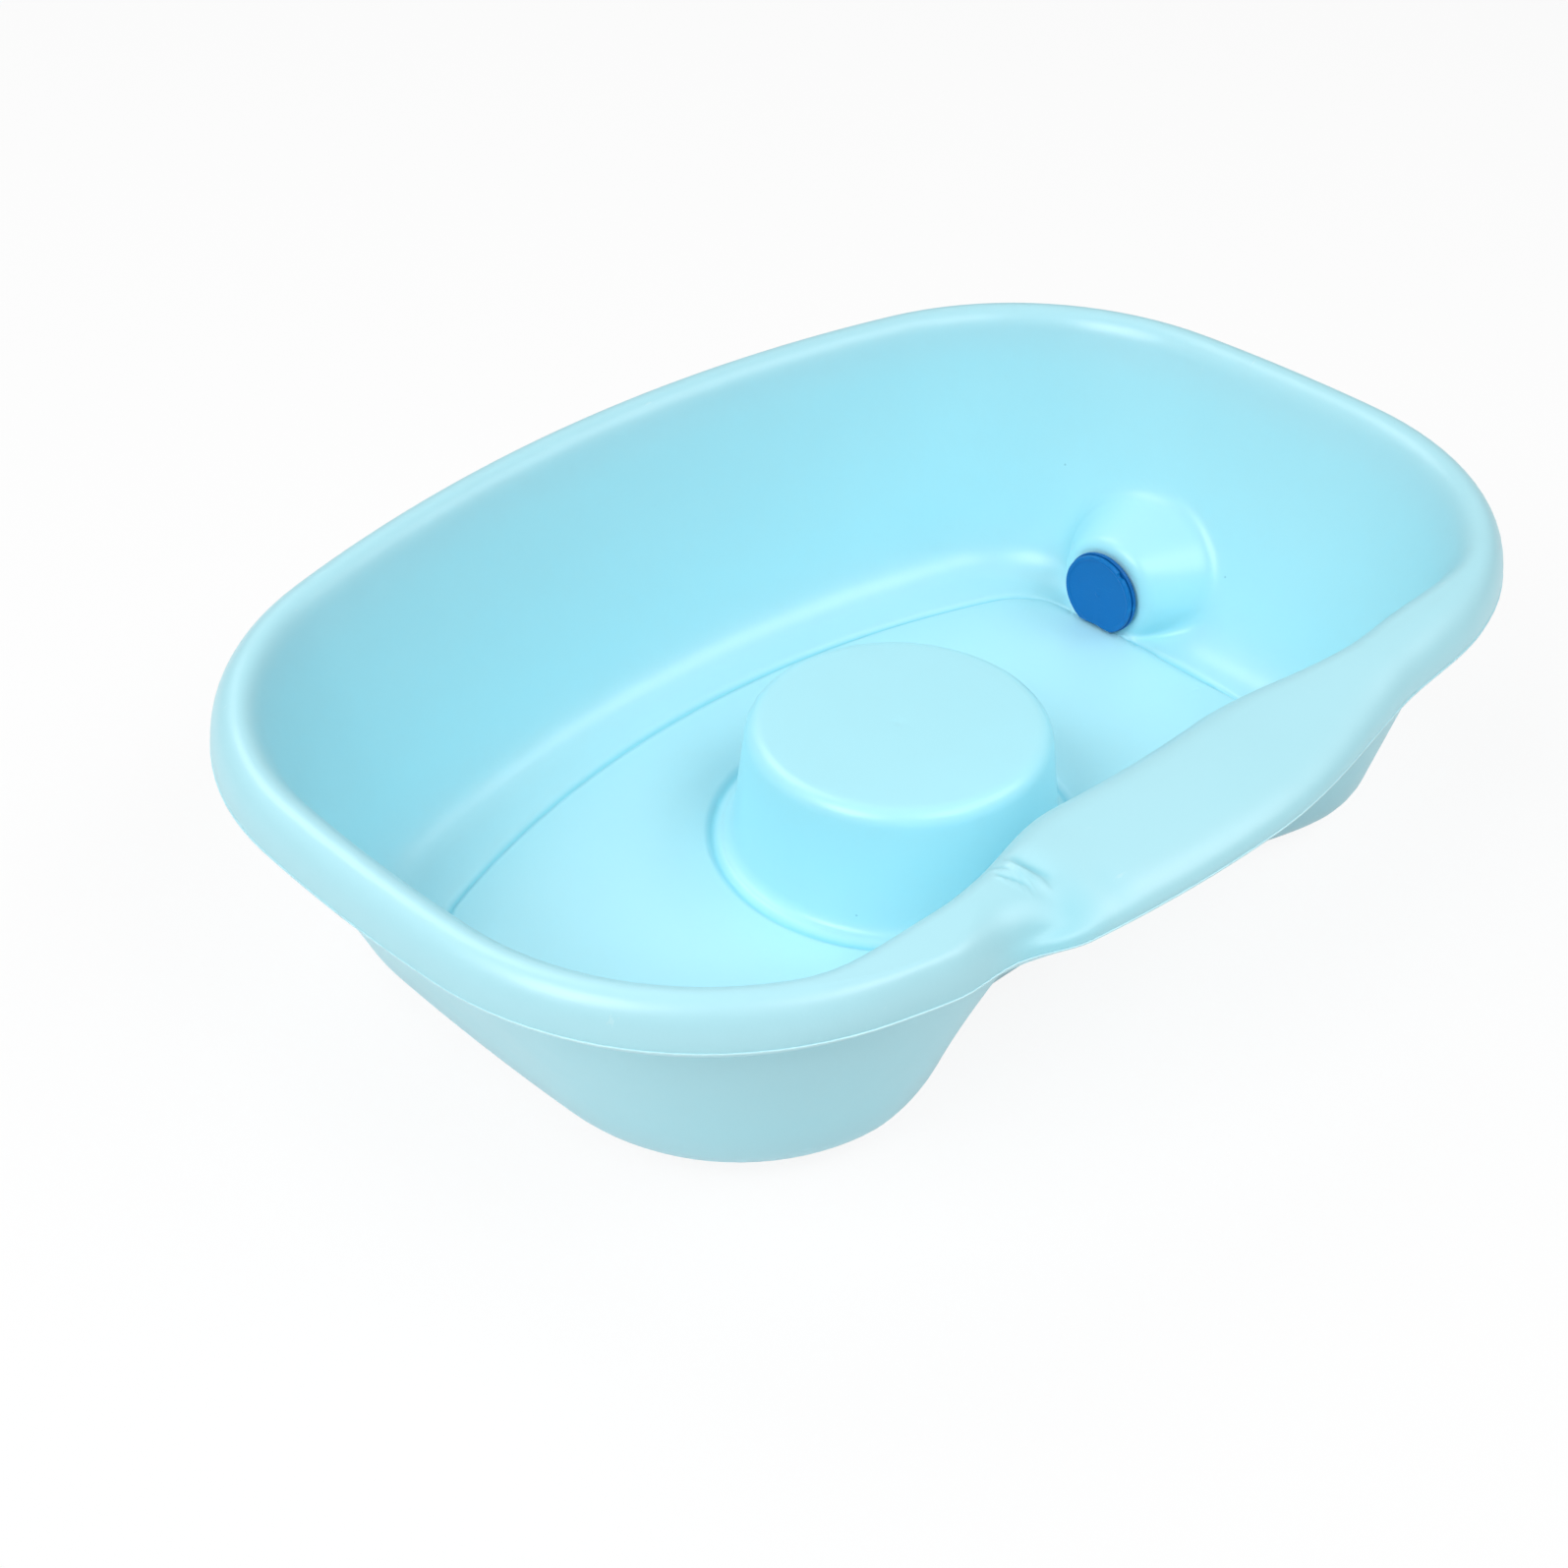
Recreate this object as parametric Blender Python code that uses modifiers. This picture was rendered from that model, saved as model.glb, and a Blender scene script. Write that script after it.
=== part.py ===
"""Portable shampoo basin: a double-walled, blow-moulded bowl with a neck rest,
a raised pillar in the middle and a drain outlet closed by a push-in stopper.

Metres, +Z up. X runs along the long side, the neck rest is on the -Y side, the drain is in the
+X end, and the basin stands on z = 0 with the middle of its rim over the origin.
"""
import bpy
import bmesh
from math import atan2, ceil, cos, pi, radians, sin, sqrt
from mathutils import Vector

# Rim: the outermost edge is an oval of three arcs a quarter
RIM_LENGTH = 0.460
RIM_WIDTH = 0.330
RIM_SIDE_RADIUS = 0.516
RIM_END_RADIUS = 0.636
RIM_CORNER_RADIUS = 0.115
RIM_HEIGHT = 0.110
RIM_CROWN_DEPTH = 0.0142
RIM_CROWN_WIDTH = 0.0148
RIM_OUTER_ROUND = 0.0094
RIM_INNER_ROUND = 0.0050
RIM_INNER_ROUND_DEPTH = 0.0080
RIM_UNDERSIDE_DEPTH = 0.0120
RIM_UNDERSIDE_WIDTH = 0.0146
RIM_UNDERSIDE_BULGE = 0.0010

# Base: the corner where the outer wall would meet the table, set in from the rim's outermost edge
BASE_END_INSET = 0.0515
BASE_SIDE_INSET = 0.0466
BASE_SIDE_RADIUS = 1.123
BASE_END_RADIUS = 1.040
BASE_CORNER_RADIUS = 0.0705
BASE_SHIFT = 0.0036
BASE_SLIDE = 0.0015
BASE_SWELL = 0.0040
BASE_SWELL_PLACE = 0.130
BASE_SWELL_REACH = 0.040
BASE_EDGE_ROUND = 0.0185
BASE_FOOT_WIDTH = 0.0120
BASE_FOOT_SLOPE = 0.0030
BASE_HOLLOW_DEPTH = 0.0020

# Bowl floor: the corner where the inner wall would meet the floor
FLOOR_HEIGHT = 0.0080
FLOOR_END_SETBACK = 0.0075
FLOOR_SIDE_SETBACK = 0.0079
FLOOR_SIDE_RADIUS = 0.500
FLOOR_END_RADIUS = 0.650
FLOOR_CORNER_RADIUS = 0.0450
FLOOR_SHIFT = 0.0085
FLOOR_EDGE_ROUND = 0.0120
SKIN_THICKNESS = 0.0018

# Groove round the floor, and the ring round the pillar
GROOVE_END_SETBACK = 0.0144
GROOVE_SIDE_SETBACK = 0.0163
GROOVE_SIDE_RADIUS = 0.362
GROOVE_END_RADIUS = 0.661
GROOVE_CORNER_RADIUS = 0.0265
GROOVE_SHIFT = 0.0047
GROOVE_HALF_WIDTH = 0.0024
GROOVE_DEPTH = 0.0012
RING_SETBACK = 0.0068

# Pillar
PILLAR_HEIGHT = 0.0474
PILLAR_TOP_RADIUS = 0.0538
PILLAR_DRAFT = 0.0055
PILLAR_SHIFT = -0.0070
PILLAR_TOP_ROUND = 0.0060
PILLAR_FOOT_ROUND = 0.0045
PILLAR_DIMPLE_RADIUS = 0.0050
PILLAR_DIMPLE_DEPTH = 0.0006

# Neck rest: the rim swells into the bowl, and both walls draw in below it. At the floor the bowl's
# wall stops at a gap before the ring, and at the table the outer wall draws in further by a step.
REST_FLARE = 0.0120
REST_FLARE_INNER_REACH = 0.100
REST_FLARE_OUTER_REACH = 0.170
REST_ROLL = 0.0190
REST_ROLL_LEFT_INNER_REACH = 0.054
REST_ROLL_LEFT_OUTER_REACH = 0.118
REST_ROLL_RIGHT_INNER_REACH = 0.020
REST_ROLL_RIGHT_OUTER_REACH = 0.110
REST_DROP = 0.0020
REST_OUTER_ROUND = 0.0200
REST_INNER_ROUND = 0.0040
REST_UNDERSIDE_DROP = 0.0043
REST_UNDERSIDE_BULGE = 0.0065
REST_LEFT_PINCH = 0.0040
REST_LEFT_PINCH_PLACE = 0.104
REST_LEFT_PINCH_REACH = 0.024
REST_RIGHT_PINCH = 0.0055
REST_RIGHT_PINCH_PLACE = 0.085
REST_RIGHT_PINCH_LEFT_REACH = 0.085
REST_RIGHT_PINCH_RIGHT_REACH = 0.055
RECESS_TOP_DEPTH = 0.0240
RECESS_RING_GAP = 0.0020
RECESS_WALL_STEP = 0.0115
RECESS_INNER_REACH = 0.035
RECESS_OUTER_REACH = 0.118
RECESS_FLOOR_EDGE_ROUND = 0.0050
RECESS_BASE_EDGE_ROUND = 0.0090

# Drain: a round boss on the right end wall, and the recess behind it
DRAIN_SIDE = 0.0280
DRAIN_RISE = 0.0160
BOSS_REACH = 0.0135
BOSS_FACE_RADIUS = 0.0210
BOSS_ROOT_RADIUS = 0.0275
BOSS_ROOT_SETBACK = 0.0060
BOSS_WALL_RADIUS = 0.0330
BOSS_FACE_ROUND = 0.0040
BOSS_OVERLAP = 0.0020
BOSS_END_WALL = 0.0040
DRAIN_RECESS_RADIUS = 0.0165
DRAIN_RECESS_MOUTH_RADIUS = 0.0190
DRAIN_SOLID_MARGIN = 0.0100
DRAIN_HOLE_RADIUS = 0.0100

# Outlet fitting, its washer and its nut
CLEARANCE = 0.0003
OUTLET_FLANGE_RADIUS = 0.0170
OUTLET_FLANGE_THICKNESS = 0.0015
OUTLET_MOUTH_RADIUS = 0.0072
OUTLET_MOUTH_DEPTH = 0.0110
OUTLET_THREAD_PITCH = 0.0025
OUTLET_THREAD_DEPTH = 0.0005
OUTLET_BORE_RADIUS = 0.0052
BARB_ROOT_RADIUS = 0.0066
BARB_TIP_RADIUS = 0.0076
BARB_PITCH = 0.0050
BARB_COUNT = 4
BARB_NECK_LENGTH = 0.0040
FLANGE_FLAT_DROP = 0.0142
WASHER_THICKNESS = 0.0010
WASHER_RADIUS = 0.0145
NUT_THICKNESS = 0.0060
NUT_CORNER_RADIUS = 0.0135
NUT_CHAMFER = 0.0008

# Stopper
PLUG_HEAD_RADIUS = 0.0164
PLUG_HEAD_THICKNESS = 0.0018
PLUG_HEAD_ROUND = 0.0004
PLUG_STEM_LENGTH = 0.0090
PLUG_STEM_TAPER = 0.0003
PLUG_STEM_WALL = 0.0014
PLUG_FLAT_DROP = 0.0142
PLUG_NOTCH_RADIUS = 0.0020
PLUG_NOTCH_DEPTH = 0.0011
PLUG_NOTCH_TURN = radians(-38)

# Plug of the blow hole under the base
BLOW_HOLE_RADIUS = 0.0040
BLOW_HOLE_SETBACK = 0.0307
BLOW_HOLE_SIDE = 0.020
BLOW_PLUG_HEAD_RADIUS = 0.0075
BLOW_PLUG_HEAD_THICKNESS = 0.0012
BLOW_PLUG_DEPTH = 0.0030

# Counts of facets, and the overrun that every cut has past what it cuts
END_STEPS = 2
CORNER_STEPS = 5
BACK_STEPS = 5
FRONT_STEPS = 13
HOLLOW_STEP_SHARE = 0.5
ROUND_SIDES = 48
FITTING_SIDES = 32
BLOW_HOLE_SIDES = 24
NOTCH_SIDES = 16
NUT_SIDES = 6
CUT_OVERRUN = 0.0050
SEGMENT_SHARE = 0.96
SHARP_ANGLE = radians(30)

# Colour and roughness of each material
BASIN_PLASTIC = ((0.42, 0.82, 0.92, 1), 0.28)
BLOW_PLUG_PLASTIC = ((0.42, 0.82, 0.92, 1), 0.35)
FITTING_PLASTIC = ((0.01, 0.16, 0.48, 1), 0.35)
STOPPER_PLASTIC = ((0.01, 0.16, 0.48, 1), 0.4)
WASHER_RUBBER = ((0.05, 0.05, 0.05, 1), 0.7)


def smooth_step(value, start, end):
    share = min(max((value - start) / (end - start), 0), 1)
    return share * share * (3 - 2 * share)


def span(x, left_outer, left_inner, right_inner, right_outer):
    """One between the two inner reaches, falling smoothly to nothing at the outer ones."""
    return smooth_step(x, -left_outer, -left_inner) * smooth_step(-x, -right_outer, -right_inner)


def oval_quarter(half_length, half_width, radii, side_steps):
    """Points and outward normals from the oval's end to the middle of its long side."""
    side_radius, end_radius, corner_radius = radii
    side_centre = Vector((0, half_width - side_radius))
    end_centre = Vector((half_length - end_radius, 0))
    side_reach = side_radius - corner_radius
    end_reach = end_radius - corner_radius
    apart = end_centre - side_centre
    along = (side_reach ** 2 - end_reach ** 2 + apart.length_squared) / (2 * apart.length)
    across = sqrt(max(side_reach ** 2 - along ** 2, 0))
    way = apart.normalized()
    corner_centre = side_centre + way * along + Vector((way.y, -way.x)) * across
    end_turn = atan2(corner_centre.y - end_centre.y, corner_centre.x - end_centre.x)
    side_turn = atan2(corner_centre.y - side_centre.y, corner_centre.x - side_centre.x)
    arcs = (
        (end_centre, end_radius, 0, end_turn, END_STEPS),
        (corner_centre, corner_radius, end_turn, side_turn, CORNER_STEPS),
        (side_centre, side_radius, side_turn, pi / 2, side_steps),
    )
    quarter = []
    for centre, radius, start, end, steps in arcs:
        for step in range(steps):
            turn = start + (end - start) * step / steps
            normal = Vector((cos(turn), sin(turn)))
            quarter.append((centre + radius * normal, normal))
    quarter.append((Vector((0, half_width)), Vector((0, 1))))
    return quarter


def oval_stations(half_length, half_width, radii, shift):
    """The whole oval, counter-clockwise from its right end, with more stations in front."""
    back = oval_quarter(half_length, half_width, radii, BACK_STEPS)
    front = oval_quarter(half_length, half_width, radii, FRONT_STEPS)
    turns = (
        (back[:-1], 1, 1),
        (back[:0:-1], -1, 1),
        (front[:-1], -1, -1),
        (front[:0:-1], 1, -1),
    )
    stations = []
    for quarter, x_sign, y_sign in turns:
        for point, normal in quarter:
            stations.append((
                Vector((point.x * x_sign, point.y * y_sign + shift)),
                Vector((normal.x * x_sign, normal.y * y_sign)),
            ))
    return stations


def rounded(corners, step_share=1):
    """A line through the corners, each rounded by a conic that starts and ends at the given lengths.

    A step share below one leaves the line coarser.
    """
    points = [corner[0] for corner in corners]
    before = [corner[1] for corner in corners]
    after = [corner[2] for corner in corners]
    for index in range(len(corners) - 1):
        room = (points[index + 1] - points[index]).length * SEGMENT_SHARE
        wanted = after[index] + before[index + 1]
        if wanted > room:
            after[index] *= room / wanted
            before[index + 1] *= room / wanted
    line = []
    for index, (point, _, _, steps) in enumerate(corners):
        if steps == 0:
            line.append(point)
            continue
        arriving = (point - points[index - 1]).normalized()
        leaving = (points[index + 1] - point).normalized()
        start = point - arriving * before[index]
        end = point + leaving * after[index]
        weight = sqrt(max((1 + arriving.dot(leaving)) / 2, 0))
        steps = ceil(steps * step_share)
        for step in range(steps + 1):
            share = step / steps
            parts = ((1 - share) ** 2, 2 * weight * share * (1 - share), share ** 2)
            line.append((start * parts[0] + point * parts[1] + end * parts[2]) / sum(parts))
    return line


def lifted(flat, height):
    return Vector((flat.x, flat.y, height))


def rim_corners(place, normal):
    """Crown and underside of the rim at one station, and the top of the outer wall."""
    in_front = place.y < 0
    x = place.x
    flare = in_front * span(
        x, REST_FLARE_OUTER_REACH, REST_FLARE_INNER_REACH, REST_FLARE_INNER_REACH, REST_FLARE_OUTER_REACH)
    roll = in_front * span(
        x, REST_ROLL_LEFT_OUTER_REACH, REST_ROLL_LEFT_INNER_REACH,
        REST_ROLL_RIGHT_INNER_REACH, REST_ROLL_RIGHT_OUTER_REACH)
    left_pinch = span(x + REST_LEFT_PINCH_PLACE, REST_LEFT_PINCH_REACH, 0, 0, REST_LEFT_PINCH_REACH)
    right_pinch = span(
        x - REST_RIGHT_PINCH_PLACE, REST_RIGHT_PINCH_LEFT_REACH, 0, 0, REST_RIGHT_PINCH_RIGHT_REACH)
    draw = recess_share(place)
    outer = in_front * (REST_LEFT_PINCH * left_pinch + REST_RIGHT_PINCH * right_pinch)
    inner = RIM_CROWN_WIDTH + REST_FLARE * flare + REST_ROLL * roll
    top = RIM_HEIGHT - REST_DROP * roll
    parting = RIM_HEIGHT - RIM_CROWN_DEPTH
    wall_inset = RIM_UNDERSIDE_WIDTH + RECESS_TOP_DEPTH * draw
    wall_top = parting - RIM_UNDERSIDE_DEPTH - REST_UNDERSIDE_DROP * draw
    bulge = RIM_UNDERSIDE_BULGE + REST_UNDERSIDE_BULGE * roll * draw
    under_inset = (outer + wall_inset) / 2 - bulge
    under_height = (parting + wall_top) / 2 - bulge

    def at(inset, height):
        return lifted(place - normal * inset, height)

    inner_round = RIM_INNER_ROUND + REST_INNER_ROUND * roll
    outer_round = RIM_OUTER_ROUND + REST_OUTER_ROUND * roll + REST_FLARE * flare / 2
    return [
        (at(inner, top), RIM_INNER_ROUND_DEPTH, inner_round, 3),
        (at(outer, top), outer_round, top - parting, 5),
        (at(outer, parting), 0, 0, 0),
        (at(under_inset, under_height), bulge * 2, bulge * 2, 2),
        (at(wall_inset, wall_top), 0, 0, 0),
    ]


def recess_share(place):
    """How far the recess below the neck rest is drawn in at a place, from nothing to one."""
    return (place.y < 0) * span(
        place.x, RECESS_OUTER_REACH, RECESS_INNER_REACH, RECESS_INNER_REACH, RECESS_OUTER_REACH)


def base_half_size():
    return Vector((RIM_LENGTH / 2 - BASE_END_INSET, RIM_WIDTH / 2 - BASE_SIDE_INSET))


def floor_half_size():
    return base_half_size() - Vector((FLOOR_END_SETBACK, FLOOR_SIDE_SETBACK))


def ring_radius():
    """Radius of the middle of the ring in the floor round the pillar."""
    return PILLAR_TOP_RADIUS + PILLAR_DRAFT + RING_SETBACK


def recess_depth():
    """How far the bowl's wall draws in at the middle of the recess, up to its gap before the ring."""
    floor_front = floor_half_size().y - FLOOR_SHIFT
    ring_front = ring_radius() + GROOVE_HALF_WIDTH - PILLAR_SHIFT
    return floor_front - RECESS_FLOOR_EDGE_ROUND - RECESS_RING_GAP - ring_front


def pillar_corners(around):
    """Top, side and foot of the pillar, and the ring in the floor round it."""
    centre = Vector((0, PILLAR_SHIFT))
    top = FLOOR_HEIGHT + PILLAR_HEIGHT
    foot_radius = PILLAR_TOP_RADIUS + PILLAR_DRAFT
    ring = ring_radius()

    def at(radius, height):
        return lifted(centre + around * radius, height)

    return [
        (at(PILLAR_DIMPLE_RADIUS, top), 0, 0, 0),
        (at(PILLAR_TOP_RADIUS, top), PILLAR_TOP_ROUND, PILLAR_TOP_ROUND, 4),
        (at(foot_radius, FLOOR_HEIGHT), PILLAR_FOOT_ROUND, PILLAR_FOOT_ROUND, 3),
        (at(ring - GROOVE_HALF_WIDTH, FLOOR_HEIGHT), 0, 0, 0),
        (at(ring, FLOOR_HEIGHT - GROOVE_DEPTH), 0, 0, 0),
        (at(ring + GROOVE_HALF_WIDTH, FLOOR_HEIGHT), 0, 0, 0),
    ]


def floor_corners(groove, foot, foot_normal, around):
    """Groove round the floor and the corner between the floor and the inner wall.

    The groove keeps its share of the way from the ring to the wall. Where the recess draws the
    wall in, that share moves to a half and the groove runs out.
    """
    draw = recess_share(foot)
    moved = foot + Vector((0, recess_depth() * draw))
    edge_round = FLOOR_EDGE_ROUND + (RECESS_FLOOR_EDGE_ROUND - FLOOR_EDGE_ROUND) * draw
    wall_side = moved - foot_normal * edge_round
    undrawn_side = foot - foot_normal * FLOOR_EDGE_ROUND
    ring_side = Vector((0, PILLAR_SHIFT)) + around * (ring_radius() + GROOVE_HALF_WIDTH)
    share = (groove - ring_side).length / (undrawn_side - ring_side).length
    straight = ring_side.lerp(wall_side, share + (1 / 2 - share) * draw)
    place = straight + (groove - ring_side.lerp(undrawn_side, share)) * (1 - draw)
    half_width = GROOVE_HALF_WIDTH * (1 - draw) + (wall_side - ring_side).length / 4 * draw
    edge = (wall_side - place).normalized() * half_width
    return [
        (lifted(place - edge, FLOOR_HEIGHT), 0, 0, 0),
        (lifted(place, FLOOR_HEIGHT - GROOVE_DEPTH * (1 - draw)), 0, 0, 0),
        (lifted(place + edge, FLOOR_HEIGHT), 0, 0, 0),
        (lifted(moved, FLOOR_HEIGHT), edge_round, edge_round, 4),
    ]


def base_corners(place, normal):
    """Rounded bottom edge, the ring that the basin stands on and the hollow inside it."""
    draw = recess_share(place)
    swell = (place.y < 0) * span(place.x - BASE_SWELL_PLACE, BASE_SWELL_REACH, 0, 0, BASE_SWELL_REACH)
    drawn = Vector((BASE_SLIDE, (recess_depth() + RECESS_WALL_STEP) * draw))
    moved = place + drawn + normal * BASE_SWELL * swell
    edge_round = BASE_EDGE_ROUND + (RECESS_BASE_EDGE_ROUND - BASE_EDGE_ROUND) * draw
    foot = foot_setback(edge_round)
    return [
        (lifted(moved, 0), edge_round, edge_round, 5),
        (lifted(moved - normal * foot, 0), 0, 0, 0),
        (lifted(moved - normal * (foot + BASE_FOOT_SLOPE), BASE_HOLLOW_DEPTH), 0, 0, 0),
    ]


def foot_setback(edge_round):
    """From the corner of the base to the inner edge of the ring that the basin stands on."""
    return edge_round / SEGMENT_SHARE + BASE_FOOT_WIDTH


def blow_hole_place():
    """Where the blow hole's axis meets the table, set in from the slope inside the foot ring."""
    slope_end = base_half_size().x - BASE_SLIDE - foot_setback(BASE_EDGE_ROUND) - BASE_FOOT_SLOPE
    return Vector((BLOW_HOLE_SETBACK - slope_end, BLOW_HOLE_SIDE, 0))


def inset_corners(corners, outwards, inset):
    """The corners moved into the material by the inset, with their roundings kept parallel."""
    moved = []
    last = len(corners) - 1
    for index, (point, before, after, steps) in enumerate(corners):
        outward = outwards[index]
        ways = []
        for start in (max(index - 1, 0), min(index, last - 1)):
            step = corners[start + 1][0] - corners[start][0]
            ways.append(Vector((step.x * outward.x + step.y * outward.y, step.z)).normalized())
        arriving, leaving = ways
        opening = 1 + arriving.dot(leaving)
        bend = (arriving.x * leaving.y - arriving.y * leaving.x) / opening
        side = inset * (arriving.y + leaving.y) / opening
        rise = -inset * (arriving.x + leaving.x) / opening
        place = point + Vector((outward.x * side, outward.y * side, rise))
        moved.append((place, max(before + inset * bend, 0), max(after + inset * bend, 0), steps))
    return moved


def skin_sections(step_share, inset):
    """Sections of the outer surface, or of one inset from it, from the pillar's top to the base."""
    base_half = base_half_size()
    floor_half = floor_half_size()
    groove_half = floor_half - Vector((GROOVE_END_SETBACK, GROOVE_SIDE_SETBACK))
    rim_radii = (RIM_SIDE_RADIUS, RIM_END_RADIUS, RIM_CORNER_RADIUS)
    base_radii = (BASE_SIDE_RADIUS, BASE_END_RADIUS, BASE_CORNER_RADIUS)
    floor_radii = (FLOOR_SIDE_RADIUS, FLOOR_END_RADIUS, FLOOR_CORNER_RADIUS)
    groove_radii = (GROOVE_SIDE_RADIUS, GROOVE_END_RADIUS, GROOVE_CORNER_RADIUS)
    rim = oval_stations(RIM_LENGTH / 2, RIM_WIDTH / 2, rim_radii, 0)
    base = oval_stations(base_half.x, base_half.y, base_radii, BASE_SHIFT)
    floor = oval_stations(floor_half.x, floor_half.y, floor_radii, FLOOR_SHIFT)
    groove = oval_stations(groove_half.x, groove_half.y, groove_radii, GROOVE_SHIFT)
    centre = Vector((0, PILLAR_SHIFT))
    sections = []
    for station in range(len(rim)):
        groove_place = groove[station][0]
        around = (groove_place - centre).normalized()
        groups = (
            (around, pillar_corners(around)),
            (floor[station][1], floor_corners(groove_place, *floor[station], around)),
            (rim[station][1], rim_corners(*rim[station])),
            (base[station][1], base_corners(*base[station])),
        )
        corners = [corner for _, group in groups for corner in group]
        outwards = [outward for outward, group in groups for _ in group]
        sections.append(rounded(inset_corners(corners, outwards, inset), step_share))
    return sections


def loft_mesh(name, sections, first_pole, last_pole):
    """A closed skin over the sections, with one point in the middle of each end."""
    shape = bmesh.new()
    grid = [[shape.verts.new(point) for point in section] for section in sections]
    start = shape.verts.new(first_pole)
    finish = shape.verts.new(last_pole)
    for this, following in zip(grid, grid[1:] + grid[:1]):
        shape.faces.new((start, this[0], following[0]))
        shape.faces.new((finish, following[-1], this[-1]))
        for row in range(len(this) - 1):
            shape.faces.new((this[row], this[row + 1], following[row + 1], following[row]))
    bmesh.ops.recalc_face_normals(shape, faces=shape.faces)
    mesh = bpy.data.meshes.new(name)
    shape.to_mesh(mesh)
    shape.free()
    return mesh


def add_object(name, mesh, collection):
    piece = bpy.data.objects.new(name, mesh)
    collection.objects.link(piece)
    return piece


def add_cutter(name, mesh, cutters):
    cutter = add_object(name, mesh, cutters)
    cutter.hide_render = True
    cutter.display_type = 'WIRE'
    return cutter


def combine(piece, tool, operation):
    step = piece.modifiers.new(tool.name, 'BOOLEAN')
    step.operation = operation
    step.object = tool


def cone_mesh(name, radius_start, radius_end, length, sides=ROUND_SIDES):
    """A closed cone along +Z, from z = 0 to its length."""
    shape = bmesh.new()
    bmesh.ops.create_cone(
        shape, cap_ends=True, segments=sides, radius1=radius_start, radius2=radius_end, depth=length)
    bmesh.ops.translate(shape, verts=shape.verts, vec=(0, 0, length / 2))
    mesh = bpy.data.meshes.new(name)
    shape.to_mesh(mesh)
    shape.free()
    return mesh


def lay_along_x(piece, x):
    """Turn a piece whose axis is Z so that it points along +X on the drain's axis."""
    piece.rotation_euler = (0, pi / 2, 0)
    piece.location = (x, DRAIN_SIDE, FLOOR_HEIGHT + DRAIN_RISE)


def boss_face():
    return floor_half_size().x - BOSS_REACH


def boss_mesh():
    """The boss between its face in the bowl and a ring that follows the sloping end wall."""
    floor_end = floor_half_size().x
    wall_run = RIM_LENGTH / 2 - RIM_CROWN_WIDTH - floor_end
    slope = wall_run / (RIM_HEIGHT - FLOOR_HEIGHT)
    axis_height = FLOOR_HEIGHT + DRAIN_RISE
    lowest = FLOOR_HEIGHT / 2
    sections = []
    for side in range(ROUND_SIDES):
        # Half a facet round from the cylinders on the same axis, so that no edges coincide
        turn = 2 * pi * (side + 1 / 2) / ROUND_SIDES
        flat = Vector((0, sin(turn), cos(turn)))

        def at(x, radius):
            point = Vector((x, DRAIN_SIDE, axis_height)) + flat * radius
            point.z = max(point.z, lowest)
            return point

        root = at(0, BOSS_ROOT_RADIUS)
        root.x = floor_end + slope * (root.z - FLOOR_HEIGHT) - BOSS_ROOT_SETBACK
        far = at(0, BOSS_WALL_RADIUS)
        far.x = floor_end + slope * (far.z - FLOOR_HEIGHT) + BOSS_OVERLAP
        corners = [
            (at(boss_face(), BOSS_FACE_RADIUS / 2), 0, 0, 0),
            (at(boss_face(), BOSS_FACE_RADIUS), BOSS_FACE_ROUND, BOSS_FACE_ROUND, 3),
            (root, BOSS_ROOT_SETBACK, BOSS_ROOT_SETBACK, 3),
            (far, 0, 0, 0),
        ]
        sections.append(rounded(corners))
    first = Vector((boss_face(), DRAIN_SIDE, axis_height))
    last = Vector((floor_end + slope * DRAIN_RISE + BOSS_OVERLAP, DRAIN_SIDE, axis_height))
    return loft_mesh('drain_boss', sections, first, last)


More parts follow.
